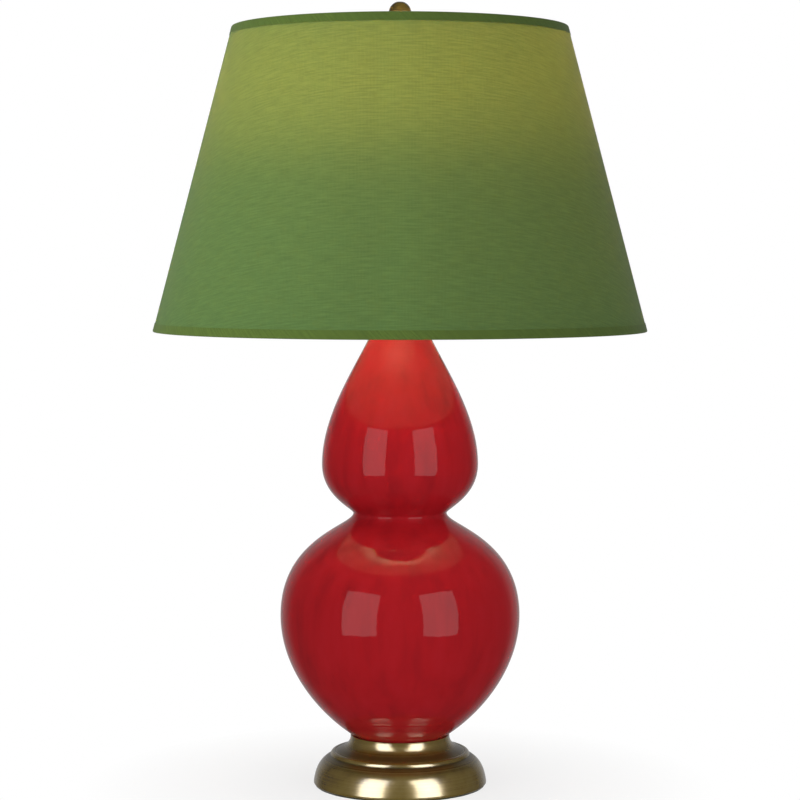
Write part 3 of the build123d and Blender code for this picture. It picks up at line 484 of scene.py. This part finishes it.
def rolled_sheet(name, rows, point, flat_point):
    """A grid of a sheet's points, with the flat cloth as its UV map."""
    vertices = [point(column, row) for row in range(rows + 1) for column in range(AROUND + 1)]
    faces = []
    for row in range(rows):
        for column in range(AROUND):
            first = row * (AROUND + 1) + column
            faces.append((first, first + 1, first + AROUND + 2, first + AROUND + 1))
    mesh = bpy.data.meshes.new(name)
    mesh.from_pydata(vertices, [], faces)
    layer = mesh.uv_layers.new(name="flat")
    for loop in mesh.loops:
        row, column = divmod(loop.vertex_index, AROUND + 1)
        layer.data[loop.index].uv = flat_point(column, row)
    piece = bpy.data.objects.new(name, mesh)
    bpy.context.collection.objects.link(piece)
    return piece


def lap_rise(distance, lap, ease, thickness):
    """How far a strip stands off, at a distance from its outer end, to lap its inner end."""
    return thickness * min(1.0, max(0.0, (lap + ease - distance) / ease))


def only(piece):
    """Makes a piece the one selected and active object."""
    bpy.ops.object.select_all(action="DESELECT")
    piece.select_set(True)
    bpy.context.view_layer.objects.active = piece


def apply_modifier(piece, kind, **settings):
    """Adds a modifier, sets it and applies it."""
    only(piece)
    modifier = piece.modifiers.new(kind.lower(), kind)
    for name, value in settings.items():
        setattr(modifier, name, value)
    bpy.ops.object.modifier_apply(modifier=modifier.name)


def smooth(piece, degrees):
    """Smooth shading, with edges sharper than an angle kept."""
    only(piece)
    bpy.ops.object.shade_smooth_by_angle(angle=math.radians(degrees))


# %% The shade's sheet
UP = 24
full_turn = 2 * math.pi + LAP / bottom_radius


def cone_radius(height):
    """The cloth's outside radius at a height."""
    share = (height - shade_bottom) / (shade_top - shade_bottom)
    return bottom_radius + share * (top_radius - bottom_radius)


def shade_point(column, row):
    """A point of the rolled sheet's inside. The lap is at the back."""
    height = shade_bottom + row / UP * (shade_top - shade_bottom)
    turn = column / AROUND * full_turn
    left = (full_turn - turn) * bottom_radius
    rise = lap_rise(left, LAP, LAP_EASE, sheet_thickness)
    radius = cone_radius(height) - sheet_thickness + rise
    angle = math.pi / 2 + turn
    return (radius * math.cos(angle), radius * math.sin(angle), height)


def shade_flat(column, row):
    """The same point on the flat cloth, with the front's middle line upright."""
    slant = flat_outer - row / UP * slope_length
    angle = (column / AROUND * full_turn - math.pi) * sector / (2 * math.pi)
    return (slant * math.sin(angle), slant * math.cos(angle))


shade_sheet = rolled_sheet("shade_laminate", UP, shade_point, shade_flat)
shade_sheet.data.materials.append(finishes["green_linen"])
shade_sheet.data.materials.append(finishes["white_styrene"])
inside = {"material_offset": 1, "material_offset_rim": 0}
apply_modifier(shade_sheet, "SOLIDIFY", thickness=sheet_thickness, offset=1.0, **inside)
smooth(shade_sheet, degrees=35)
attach(shade_sheet, "shade")
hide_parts("shade_cloth", "shade_backing")
print("shade sheet:", len(shade_sheet.data.polygons), "faces")

# %% [markdown]
# ## The folded tapes
# Each rim is bound with a cotton tape cut on the bias, so that it bends round the edge
# without puckers. It starts on the outside, turns over the rim, goes on round the wire
# and is tucked against the styrene. A thick ring would only look like one, so the tape is
# modelled as the strip it is: a line across its width, with rounded folds, is carried
# round the rim, lapped at the back like the cloth, and then given its thickness. The
# flat strip is its UV map, turned in the finish so that the weave lies on the bias.

# %% Tape across its width
TAPE_THICKNESS = 0.5 * MM
TAPE_SHOWN = 8 * MM
TAPE_TUCK = 4 * MM
TAPE_CLEARANCE = 0.12 * MM
FOLD = 0.9 * MM
FOLD_STEPS = 4


def rounded_line(points):
    """A line of (radius, height) points whose corners are rounded off."""
    line = [Vector(points[0])]
    for before, corner, after in zip(points, points[1:], points[2:]):
        before, corner, after = Vector(before), Vector(corner), Vector(after)
        enter = corner + (before - corner).normalized() * FOLD
        leave = corner + (after - corner).normalized() * FOLD
        for step in range(FOLD_STEPS + 1):
            share = step / FOLD_STEPS
            line.append(enter.lerp(corner, share).lerp(corner.lerp(leave, share), share))
    return line + [Vector(points[-1])]


def tape_line(edge, inward, wire):
    """The tape's inner face across its width, from the outside over the rim to the inside."""
    wire_low, wire_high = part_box(wire)
    wire_size = wire_high.z - wire_low.z
    backing = sheet_thickness + TAPE_THICKNESS
    inner = backing + wire_size + TAPE_CLEARANCE
    far = edge + inward * TAPE_SHOWN
    past_wire = edge + inward * (wire_size + 2 * TAPE_CLEARANCE)
    tuck = past_wire + inward * TAPE_TUCK
    over = edge - inward * TAPE_CLEARANCE
    return rounded_line(
        [
            (cone_radius(far) + TAPE_CLEARANCE, far),
            (cone_radius(over) + TAPE_CLEARANCE, over),
            (cone_radius(over) - inner, over),
            (cone_radius(past_wire) - inner, past_wire),
            (cone_radius(tuck) - backing, tuck),
        ]
    )


# %% Tape round the rim
TAPE_LAP = 14 * MM
TAPE_LAP_EASE = 3 * MM
TAPE_PRESSED = 0.8 * TAPE_THICKNESS


def bound_rim(name, edge, inward, wire, replaced):
    """One rim's tape, as a lapped strip with its flat UV map. Returns it and its flat size."""
    line = tape_line(edge, inward, wire)
    if inward > 0:
        line.reverse()
    rows = len(line) - 1
    along = [0.0]
    for before, after in zip(line, line[1:]):
        along.append(along[-1] + (after - before).length)
    leans = []
    for row in range(rows + 1):
        run = line[min(row + 1, rows)] - line[max(row - 1, 0)]
        leans.append(Vector((run.y, -run.x)).normalized())
    middle_radius = sum(point.x for point in line) / len(line)
    turns = 2 * math.pi + TAPE_LAP / middle_radius

    def point(column, row):
        turn = column / AROUND * turns
        left = (turns - turn) * middle_radius
        rise = lap_rise(left, TAPE_LAP, TAPE_LAP_EASE, TAPE_THICKNESS)
        place = line[row] + leans[row] * rise
        angle = math.pi / 2 + turn
        return (place.x * math.cos(angle), place.x * math.sin(angle), place.y)

    def flat_point(column, row):
        return (column / AROUND * turns * middle_radius, along[row])

    tape = rolled_sheet(name, rows, point, flat_point)
    tape.data.materials.append(finishes["green_tape"])
    apply_modifier(tape, "SOLIDIFY", thickness=TAPE_PRESSED, offset=1.0)
    smooth(tape, degrees=50)
    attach(tape, "shade")
    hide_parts(replaced)
    flat = (turns * middle_radius, along[-1])
    print(name, "flat:", [round(size, 4) for size in flat], "m,", len(tape.data.polygons), "faces")
    return tape, flat


top_tape, top_tape_flat = bound_rim(
    "top_bias_tape", shade_top, -1, "shade_top_wire", "shade_top_trim"
)
bottom_tape, bottom_tape_flat = bound_rim(
    "bottom_bias_tape", shade_bottom, 1, "shade_bottom_wire", "shade_bottom_trim"
)

# %% [markdown]
# ## Working by hand
# The pieces from here on are shaped in edit mode, as a hand would: part of a mesh is
# selected by its place or the way it faces, and an operator acts on what is selected. A
# finished piece has its place in its mesh, so its object is settled at the origin.

# %% Helpers for edit mode


def start_editing(mode="DESELECT"):
    """Edit mode with nothing or, with SELECT, everything selected."""
    bpy.ops.object.mode_set(mode="EDIT")
    bpy.ops.mesh.select_all(action=mode)


def select_in_edit(piece, kind, test):
    """Selects the edges or faces whose middle and direction pass a test."""
    bpy.ops.object.mode_set(mode="OBJECT")
    mesh = piece.data
    bpy.context.tool_settings.mesh_select_mode = (False, kind == "EDGE", kind == "FACE")
    for group in (mesh.vertices, mesh.edges, mesh.polygons):
        for part in group:
            part.select = False
    if kind == "EDGE":
        for edge in mesh.edges:
            ends = [mesh.vertices[index].co for index in edge.vertices]
            edge.select = test((ends[0] + ends[1]) / 2, ends[1] - ends[0])
    else:
        for face in mesh.polygons:
            face.select = test(face.center, face.normal)
    bpy.ops.object.mode_set(mode="EDIT")


def finish_piece(piece, name, slot, body, replaced, degrees):
    """Names a piece, settles it at the origin, gives it its finish and hides the CAD part it
    replaces.
    """
    bpy.ops.object.mode_set(mode="OBJECT")
    only(piece)
    bpy.ops.object.transform_apply(location=True, rotation=True, scale=True)
    piece.name = name
    piece.data.name = name
    piece.data.materials.clear()
    piece.data.materials.append(finishes[slot])
    smooth(piece, degrees)
    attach(piece, body)
    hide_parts(replaced)
    print(name + ":", len(piece.data.polygons), "faces")


# %% [markdown]
# ## The felt
# A die-cut disc of wool felt is glued under the foot. Its cut edge is a little soft and
# never perfectly even, so a cylinder's ends are inset, its rims are bevelled, and its
# side is moved in by a fraction of a millimetre that changes round the turn. Three waves
# of different counts, added together, look uneven and still close.

# %% The felt disc
FELT_SIDES = 160
FELT_INSETS = (0.6 * MM, 6 * MM, 22 * MM, 26 * MM)
FELT_SOFT_EDGE = 0.3 * MM
FELT_RIM = 1 * MM
AT_SIDE = 0.1 * MM
FELT_WAVES = ((23, 0.12 * MM), (57, 0.09 * MM), (91, 0.06 * MM))  # waves round, depth

felt_low, felt_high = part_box("felt_pad")
felt_radius = felt_high.x
felt_thickness = felt_high.z - felt_low.z
bpy.ops.object.select_all(action="DESELECT")
bpy.ops.mesh.primitive_cylinder_add(
    vertices=FELT_SIDES,
    radius=felt_radius,
    depth=felt_thickness,
    location=(0, 0, felt_thickness / 2),
)
felt = bpy.context.active_object
bpy.ops.object.transform_apply(location=True)
start_editing()
select_in_edit(felt, "FACE", lambda middle, normal: abs(normal.z) > 0.9)
for width in FELT_INSETS:
    bpy.ops.mesh.inset(thickness=width, depth=0)


def is_felt_rim(middle, along):
    """The level edges right at the cylinder's side."""
    return middle.to_2d().length > felt_radius - AT_SIDE and abs(along.z) < TINY


select_in_edit(felt, "EDGE", is_felt_rim)
bpy.ops.mesh.bevel(offset=FELT_SOFT_EDGE, segments=2)
bpy.ops.object.mode_set(mode="OBJECT")
deepest = sum(depth for waves, depth in FELT_WAVES)
for vertex in felt.data.vertices:
    reach = vertex.co.to_2d().length
    if reach > felt_radius - FELT_RIM:
        turn = math.atan2(vertex.co.y, vertex.co.x)
        uneven = [
            depth * math.sin(waves * turn + start)
            for start, (waves, depth) in enumerate(FELT_WAVES)
        ]
        vertex.co.xy *= 1 - (deepest - sum(uneven)) / reach
finish_piece(felt, "felt_disc", "felt", "base", "felt_pad", degrees=35)
print("felt:", round(2 * felt_radius, 4), "m across,", round(felt_thickness / MM, 2), "mm thick")

# %% [markdown]
# ## Screw threads
# A thread is one outline carried up a screw line, and the Screw modifier does both that
# and plain turning. A cut thread, like the stud's, is a ridge round a core. A rolled one,
# like a lamp's screw cap, is a wave in a thin wall, and two level cuts square its ends.

# %% Helpers for turned pieces
THREAD_STEPS = 48


def outline_object(points):
    """A line of (radius, height) points as an object of edges."""
    mesh = bpy.data.meshes.new("outline")
    edges = [(index, index + 1) for index in range(len(points) - 1)]
    mesh.from_pydata([(radius, 0, height) for radius, height in points], edges, [])
    piece = bpy.data.objects.new("outline", mesh)
    bpy.context.collection.objects.link(piece)
    return piece


def screwed(points, pitch, turns):
    """An outline carried up a screw line for so many turns, its faces away from the axis."""
    piece = outline_object(points)
    steps = round(THREAD_STEPS * turns)
    apply_modifier(
        piece,
        "SCREW",
        use_smooth_shade=False,
        angle=2 * math.pi * turns,
        screw_offset=pitch * turns,
        steps=steps,
        render_steps=steps,
    )
    start_editing("SELECT")
    bpy.ops.mesh.remove_doubles(threshold=TINY)
    bpy.ops.mesh.normals_make_consistent(inside=False)
    bpy.ops.object.mode_set(mode="OBJECT")
    outward = sum(
        face.area * face.normal.to_2d().dot(face.center.to_2d()) for face in piece.data.polygons
    )
    if outward < 0:
        piece.data.flip_normals()
    return piece


def turned(points):
    """An outline turned once round the axis."""
    return screwed(points, 0.0, 1)


def cut_level(piece, height, keep_below):
    """Cuts a piece at a height and keeps the part below or above it."""
    only(piece)
    start_editing("SELECT")
    bpy.ops.mesh.bisect(
        plane_co=(0, 0, height),
        plane_no=(0, 0, 1),
        clear_outer=keep_below,
        clear_inner=not keep_below,
    )
    bpy.ops.object.mode_set(mode="OBJECT")


def joined(pieces):
    """Several pieces as one object."""
    only(pieces[0])
    for piece in pieces[1:]:
        piece.select_set(True)
    bpy.ops.object.join()
    return pieces[0]


# %% [markdown]
# ## The harp's stud
# The stud is turned from bar: a head that holds it under the harp's block, a shank that
# swivels in the block, a seat for the shade's hub, and the thread that the finial screws
# on. The places of its steps are read off the CAD stud, so that it fits where the
# plain one does, and its corners get the small chamfers that a lathe leaves.

# %% The stud's body
SAME_HEIGHT = 0.02 * MM
SHANK_RADIUS = 2.5 * MM
stud_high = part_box("harp_stud")[1]


def ring_radii(node):
    """The outer radius of a turned CAD node at each height where it has points."""
    reach = {}
    for vertex in nodes[node].data.vertices:
        height = round(vertex.co.z / SAME_HEIGHT)
        reach[height] = max(reach.get(height, 0), vertex.co.to_2d().length)
    return [(radius, height * SAME_HEIGHT) for height, radius in sorted(reach.items())]


stud_rings = ring_radii("harp_stud")
stud_radius = stud_rings[-1][0]
head_radius, head_bottom = stud_rings[0]
head_top = stud_rings[1][1]
collar_radius, collar_bottom = stud_rings[2]
seat_radius, seat_bottom = stud_rings[-3]
seat_top = stud_rings[-2][1]
waist_radius = (collar_radius + seat_radius) / 2
waist_height = (collar_bottom + seat_bottom) / 2
stud_body = turned(
    [
        (0, head_bottom),
        (0.55 * head_radius, head_bottom + 0.1 * MM),
        (0.9 * head_radius, head_bottom + 0.6 * MM),
        (head_radius, head_bottom + 1.2 * MM),
        (head_radius, head_top),
        (SHANK_RADIUS, head_top),
        (SHANK_RADIUS, collar_bottom),
        (collar_radius - 0.3 * MM, collar_bottom),
        (collar_radius, collar_bottom + 0.3 * MM),
        (waist_radius - 0.3 * MM, waist_height + 0.4 * MM),
        (seat_radius - 0.2 * MM, seat_bottom),
        (seat_radius, seat_bottom + 0.2 * MM),
        (seat_radius, seat_top - 0.25 * MM),
        (seat_radius - 0.25 * MM, seat_top),
        (0, seat_top),
    ],
)
print("stud: seat", round(2 * seat_radius / MM, 1), "mm across")

# %% [markdown]
# The thread is the 1/4-27 of lamps, 27 turns to the inch, sharp-sided with blunt crests.
# Its ridge is a closed outline, its two ends are filled, and its foot is sunk a little
# into the core, so that the two stay closed shapes and still look like one.

# %% The stud's thread
STUD_PITCH = 25.4 / 27 * MM
STUD_THREAD_DEPTH = 0.5 * MM
STUD_TIP = 0.7 * MM
BURIED = 0.2 * MM
thread_top = stud_high.z - STUD_TIP
root_radius = stud_radius - STUD_THREAD_DEPTH
stud_core = turned(
    [
        (0, seat_top - BURIED),
        (root_radius, seat_top - BURIED),
        (root_radius, thread_top),
        (root_radius - 0.7 * STUD_TIP, stud_high.z),
        (0, stud_high.z),
    ],
)
stud_turns = math.floor((thread_top - seat_top) / STUD_PITCH - 0.5)
stud_ridge = screwed(
    [
        (root_radius - BURIED, seat_top),
        (root_radius, seat_top),
        (stud_radius, seat_top + 0.4 * STUD_PITCH),
        (stud_radius, seat_top + 0.55 * STUD_PITCH),
        (root_radius, seat_top + 0.95 * STUD_PITCH),
        (root_radius - BURIED, seat_top + 0.95 * STUD_PITCH),
        (root_radius - BURIED, seat_top),
    ],
    STUD_PITCH,
    stud_turns,
)
start_editing("SELECT")
bpy.ops.mesh.fill_holes(sides=6)
bpy.ops.mesh.select_all(action="SELECT")
bpy.ops.mesh.normals_make_consistent(inside=False)
bpy.ops.object.mode_set(mode="OBJECT")
stud = joined([stud_body, stud_core, stud_ridge])
finish_piece(stud, "threaded_stud", "plated_brass", "stud", "harp_stud", degrees=30)
print("stud:", stud_turns, "turns of thread,", round(2 * stud_radius / MM, 2), "mm across")

# %% [markdown]
# ## The bulb's cap and its shell
# A medium screw cap is drawn from thin aluminium and rolled, so its thread is a round
# wave of seven turns to the inch with the same wall all the way. The shell in the holder
# has the same wave, a little larger. Each is the wave's outline carried up the screw
# line and then given its wall.

# %% Rolled threads
CAP_PITCH = 25.4 / 7 * MM
CAP_WAVE = 0.45 * MM
CAP_WALL = 0.3 * MM
WAVE_POINTS = 10


def rolled_thread(crest, bottom, top):
    """A rolled thread between two heights, cut level at both."""
    wave = []
    for index in range(WAVE_POINTS + 1):
        share = index / WAVE_POINTS
        radius = crest - CAP_WAVE * (0.5 + 0.5 * math.cos(2 * math.pi * share))
        wave.append((radius, bottom + (share - 1) * CAP_PITCH))
    piece = screwed(wave, CAP_PITCH, math.ceil((top - bottom) / CAP_PITCH) + 1)
    cut_level(piece, bottom, False)
    cut_level(piece, top, True)
    return piece


def walled(piece):
    """Gives a thin skin its wall, on the inside."""
    apply_modifier(piece, "SOLIDIFY", thickness=CAP_WALL, offset=-1.0)
    return piece


# %% The bulb's cap
CAP_SKIRT = 4.5 * MM
CAP_FOOT = 1.4 * MM
CAP_HOLE_RADIUS = 6.0 * MM
cap_low, cap_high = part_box("bulb_cap")
cap_radius = cap_high.x
foot_height = cap_low.z + CAP_FOOT
skirt_height = cap_high.z - CAP_SKIRT
cap_thread = rolled_thread(cap_radius, foot_height, skirt_height)
cap_skirt = turned(
    [
        (cap_radius - CAP_WAVE, skirt_height - 0.3 * MM),
        (cap_radius - 0.1 * MM, skirt_height + 0.6 * MM),
        (cap_radius, skirt_height + 1.2 * MM),
        (cap_radius, cap_high.z - 0.3 * MM),
        (cap_radius - 0.2 * MM, cap_high.z),
    ],
)
cap_foot = turned(
    [
        (CAP_HOLE_RADIUS, cap_low.z),
        (cap_radius - 1.9 * MM, cap_low.z),
        (cap_radius - 0.9 * MM, cap_low.z + 0.5 * MM),
        (cap_radius - CAP_WAVE, foot_height + 0.2 * MM),
    ],
)
cap = walled(joined([cap_thread, cap_skirt, cap_foot]))
finish_piece(cap, "bulb_screw_cap", "aluminium_shell", "bulb", "bulb_cap", degrees=40)
print("cap:", round((skirt_height - foot_height) / CAP_PITCH, 1), "turns of thread")

# %% The holder's shell
shell_low, shell_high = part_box("screw_shell")
shell_inner = min(vertex.co.to_2d().length for vertex in nodes["screw_shell"].data.vertices)
shell = walled(rolled_thread(shell_inner + CAP_WAVE + CAP_WALL, shell_low.z, shell_high.z))
finish_piece(shell, "holder_screw_shell", "aluminium_shell", "base", "screw_shell", degrees=40)
print("shell:", round(2 * shell_inner / MM, 2), "mm across inside")

# %% [markdown]
# ## The harp's ferrules
# A ferrule slides up to let the harp's leg spring off its tab, so its middle is fluted
# for the fingers. One is made: a cylinder is cut into three bands, every second face of
# the middle one is inset and sunk to make the flutes, and the ends are opened and joined
# through to make the bore. The other is a copy with its own mesh, moved across.

# %% A ferrule's blank
FLUTES = 28
PLAIN_END = 2.2 * MM

ferrule_low, ferrule_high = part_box("harp_ferrule_left")
ferrule_middle = (ferrule_low + ferrule_high) / 2
ferrule_radius = (ferrule_high.x - ferrule_low.x) / 2
ferrule_length = ferrule_high.z - ferrule_low.z


def off_middle(point):
    """How far a point lies from the ferrule's own axis."""
    return (point.to_2d() - ferrule_middle.to_2d()).length


ferrule_bore = min(off_middle(vertex.co) for vertex in nodes["harp_ferrule_left"].data.vertices)
bpy.ops.object.select_all(action="DESELECT")
bpy.ops.mesh.primitive_cylinder_add(
    vertices=FLUTES * 2, radius=ferrule_radius, depth=ferrule_length, location=ferrule_middle
)
ferrule = bpy.context.active_object
bpy.ops.object.transform_apply(location=True)
start_editing()
for height in (ferrule_low.z + PLAIN_END, ferrule_high.z - PLAIN_END):
    bpy.ops.mesh.select_all(action="SELECT")
    bpy.ops.mesh.bisect(plane_co=(0, 0, height), plane_no=(0, 0, 1))
print("ferrule:", round(2 * ferrule_radius / MM, 2), "mm across,", FLUTES, "flutes")

# %% Flutes and bore
FLUTE_DEPTH = 0.16 * MM
FLUTE_LAND = 0.05 * MM
AT_BORE = 0.05 * MM


def is_flute(middle, normal):
    """Every second face of the middle band."""
    turn = math.atan2(normal.y, normal.x) / (2 * math.pi) * 2 * FLUTES
    in_band = abs(middle.z - ferrule_middle.z) < 1 * MM and abs(normal.z) < 0.1
    return in_band and math.floor(turn) % 2 == 0


def is_end(middle, normal):
    """The two end faces."""
    return abs(middle.z - ferrule_middle.z) > ferrule_length / 2 - TINY


def is_bore_edge(middle, along):
    """The rims of the opened ends."""
    return off_middle(middle) < ferrule_bore + AT_BORE


select_in_edit(ferrule, "FACE", is_flute)
bpy.ops.mesh.inset(thickness=FLUTE_LAND, depth=-FLUTE_DEPTH, use_individual=True)
select_in_edit(ferrule, "FACE", is_end)
bpy.ops.mesh.inset(thickness=ferrule_radius - ferrule_bore, depth=0)
bpy.ops.mesh.delete(type="FACE")
select_in_edit(ferrule, "EDGE", is_bore_edge)
bpy.ops.mesh.bridge_edge_loops()
bpy.ops.object.mode_set(mode="OBJECT")
other_ferrule = ferrule.copy()
other_ferrule.data = ferrule.data.copy()
bpy.context.collection.objects.link(other_ferrule)
other_ferrule.location.x = -2 * ferrule_middle.x
for piece, side in ((ferrule, "left"), (other_ferrule, "right")):
    name, body, replaced = "fluted_ferrule_" + side, "ferrule_" + side, "harp_ferrule_" + side
    finish_piece(piece, name, "plated_brass", body, replaced, degrees=30)

# %% [markdown]
# ## Light
# A plain studio. Two large dim panels stand on either side of the camera, and the glaze
# mirrors them as two upright windows. Each has a fill in its place that lights and isn't
# mirrored, as a lamp that hangs outside what the glaze can see. A product picture is
# often put together from several, with the lamps set for one material in each, and here
# too the cloth and the brass have lamps of their own: soft keys from the left for only
# the shade, and bright tall windows and dim side panels for only the foot and the neck's
# brass. Light linking does that, with a collection of the pieces that a lamp may light.

# %% Helpers for lamps
STUDIO_TARGET = (0, 0, 0.3)
SHADE_TARGET = (0, 0, 0.6)


def panel(name, place, size, radiance, target=STUDIO_TARGET):
    """A flat lamp that faces a point and looks this bright."""
    data = bpy.data.lights.new(name, "AREA")
    data.shape = "RECTANGLE"
    data.size, data.size_y = size
    data.energy = radiance * math.pi * size[0] * size[1]
    lamp = bpy.data.objects.new(name, data)
    lamp.location = place
    lamp.rotation_euler = (Vector(target) - lamp.location).to_track_quat("-Z", "Y").to_euler()
    bpy.context.collection.objects.link(lamp)
    return lamp


def linked_group(name, pieces):
    """A collection of the pieces that a lamp's light linking names."""
    group = bpy.data.collections.new(name)
    for piece in pieces:
        group.objects.link(piece)
    return group


# %% Studio lamps
WINDOWS = {"window_left": (-1.13, -1.42, 0.52), "window_right": (1.13, -1.42, 0.52)}
WINDOW_SIZE = (1.15, 1.55)
WINDOW_RADIANCE = 1.25
FILL_SHARE = 1.25
BRASS_WINDOW_SIZE = (1.15, 2.2)
BRASS_WINDOW_RISE = 0.28
BRASS_WINDOW_RADIANCE = 9.0
BRASS_SIDES = {"brass_side_left": (-2.4, 0.2, 0.9), "brass_side_right": (2.4, 0.2, 0.9)}
BRASS_SIDE_SIZE = (2.4, 2.4)
BRASS_SIDE_RADIANCE = 0.05
SHADE_KEYS = {
    "shade_key_low": ((-2.0, -0.8, 1.1), 7.2),
    "shade_key_mid": ((-1.7, -1.5, 1.5), 1.5),
}
SHADE_KEY_SIZE = (1.2, 1.2)
BRASS_NODES = ("brass_foot", "vase_cap", "neck_spacer")

shade_pieces = linked_group("shade_pieces", [shade_sheet, top_tape, bottom_tape])
brass_pieces = linked_group("brass_pieces", [nodes[name] for name in BRASS_NODES])
for name, place in WINDOWS.items():
    panel(name, place, WINDOW_SIZE, WINDOW_RADIANCE)
    fill = panel(name + "_fill", place, WINDOW_SIZE, WINDOW_RADIANCE * FILL_SHARE)
    fill.visible_glossy = False
    raised = (place[0], place[1], place[2] + BRASS_WINDOW_RISE)
    glint = panel(name + "_brass", raised, BRASS_WINDOW_SIZE, BRASS_WINDOW_RADIANCE)
    glint.visible_diffuse = False
    glint.light_linking.receiver_collection = brass_pieces
for name, place in BRASS_SIDES.items():
    side = panel(name, place, BRASS_SIDE_SIZE, BRASS_SIDE_RADIANCE)
    side.light_linking.receiver_collection = brass_pieces
for name, (place, radiance) in SHADE_KEYS.items():
    key = panel(name, place, SHADE_KEY_SIZE, radiance, SHADE_TARGET)
    key.visible_glossy = False
    key.light_linking.receiver_collection = shade_pieces
print("studio:", len(WINDOWS), "windows,", len(BRASS_SIDES), "sides,", len(SHADE_KEYS), "keys")

# %% [markdown]
# The bulb stands cap down, and a frosted bulb with its filament held high throws most of
# its light up and out. So a wide spot lamp that points up sits in it, and a dim lamp that
# shines all ways lights the top of the gourd. Both stand a little in front and left of
# the axis, which puts the glow on the front of the shade. They leave out the bulb's
# glass, which would turn flat white so near to them and shows by its own glow instead.

# %% The bulb's light
BULB_LAMPS = {"bulb_up": ("SPOT", 9.8), "bulb_round": ("POINT", 1.0)}
BULB_COLOUR = "#FFDFB8"
BULB_LAMP_DEPTH = 80 * MM
BULB_LAMP_ASIDE = (-12 * MM, -30 * MM)
BULB_LAMP_RADIUS = 25 * MM

glass = nodes["bulb_glass"]
glass.visible_shadow = False
lamp_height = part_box("bulb_glass")[1].z - BULB_LAMP_DEPTH
unlit_glass = linked_group("unlit_glass", [glass])
unlit_glass.collection_objects[0].light_linking.link_state = "EXCLUDE"
for name, (kind, power) in BULB_LAMPS.items():
    data = bpy.data.lights.new(name, kind)
    data.energy = power
    data.color = linear(BULB_COLOUR)[:3]
    data.shadow_soft_size = BULB_LAMP_RADIUS
    lamp = bpy.data.objects.new(name, data)
    lamp.location = (*BULB_LAMP_ASIDE, lamp_height)
    lamp.light_linking.receiver_collection = unlit_glass
    bpy.context.collection.objects.link(lamp)
    if kind == "SPOT":
        data.spot_size = math.radians(180)
        data.spot_blend = 1.0
        lamp.rotation_euler = (math.pi, 0, 0)
print("bulb lamps at", round(lamp_height, 3), "m")

# %% [markdown]
# ## The room
# The room is an even dim light for diffuse surfaces, and plain white for the camera. A
# mirror sees it dark in front, where the camera is, and pale behind the lamp, which
# gives the glaze its pale edges.

# %% The room
ROOM_LIGHT = 0.22
MIRRORED_BEHIND = {"From Min": 0.55, "From Max": 1.0, "To Min": 0.06, "To Max": 0.38}
WHITE = (1, 1, 1, 1)

world = bpy.data.worlds.new("studio")
bpy.context.scene.world = world
world.use_nodes = True
tree = world.node_tree
tree.nodes.clear()
rays = add(tree, "LightPath").outputs
around = add(tree, "TexCoord").outputs["Generated"]
behind = add(tree, "SeparateXYZ", {"Vector": around}).outputs["Y"]
pale = add(
    tree, "MapRange", {"Value": behind, **MIRRORED_BEHIND}, interpolation_type="SMOOTHSTEP"
)
room = add(tree, "Background", {"Color": WHITE, "Strength": ROOM_LIGHT})
mirrored = add(tree, "Background", {"Color": WHITE, "Strength": pale})
white = add(tree, "Background", {"Color": WHITE, "Strength": 1.0})
unseen = add(tree, "MixShader", {"Fac": rays["Is Glossy Ray"], 1: room, 2: mirrored})
shown = add(tree, "MixShader", {"Fac": rays["Is Camera Ray"], 1: unseen, 2: white})
add(tree, "OutputWorld", {"Surface": shown})
print("room:", ROOM_LIGHT, "for diffuse light")

# %% [markdown]
# ## The floor
# A plain pale sweep. The camera sees it fade to white away from the lamp, so that there
# is no horizon, and it keeps the lamp's soft shadow. Mirror reflections look through it
# to the room, as for a lamp that stands near the edge of a table. It is seen from above
# only, so that a view from below shows the felt and the inside of the shade.

# %% The floor
FLOOR_SIZE = 12.0
FLOOR_GAP = 0.1 * MM
FLOOR_PAINT = "#E8E8E8"
FADE = {"From Min": 0.09, "From Max": 0.32, "To Min": 0.8, "To Max": 1.0}

bpy.ops.object.select_all(action="DESELECT")
bpy.ops.mesh.primitive_plane_add(size=FLOOR_SIZE, location=(0, 0, -FLOOR_GAP))
floor = bpy.context.active_object
floor.name = "floor"
floor_finish, tree, place = start_finish("pale_floor")
rays = add(tree, "LightPath").outputs
away = add(tree, "VectorMath", {0: place}, operation="LENGTH")
whiter = add(tree, "MapRange", {"Value": away, **FADE})
paint = add(tree, "BsdfDiffuse", {"Color": linear(FLOOR_PAINT)})
bright = add(tree, "Emission", {"Color": WHITE, "Strength": 1.0})
through = add(tree, "BsdfTransparent")
seen = add(tree, "MixShader", {"Fac": whiter, 1: paint, 2: bright})
unseen = add(tree, "MixShader", {"Fac": rays["Is Glossy Ray"], 1: paint, 2: through})
above = add(tree, "MixShader", {"Fac": rays["Is Camera Ray"], 1: unseen, 2: seen})
below = add(tree, "NewGeometry").outputs["Backfacing"]
one_sided = add(tree, "MixShader", {"Fac": below, 1: above, 2: through})
add(tree, "OutputMaterial", {"Surface": one_sided})
floor.data.materials.append(floor_finish)
print("floor:", FLOOR_SIZE, "m wide")
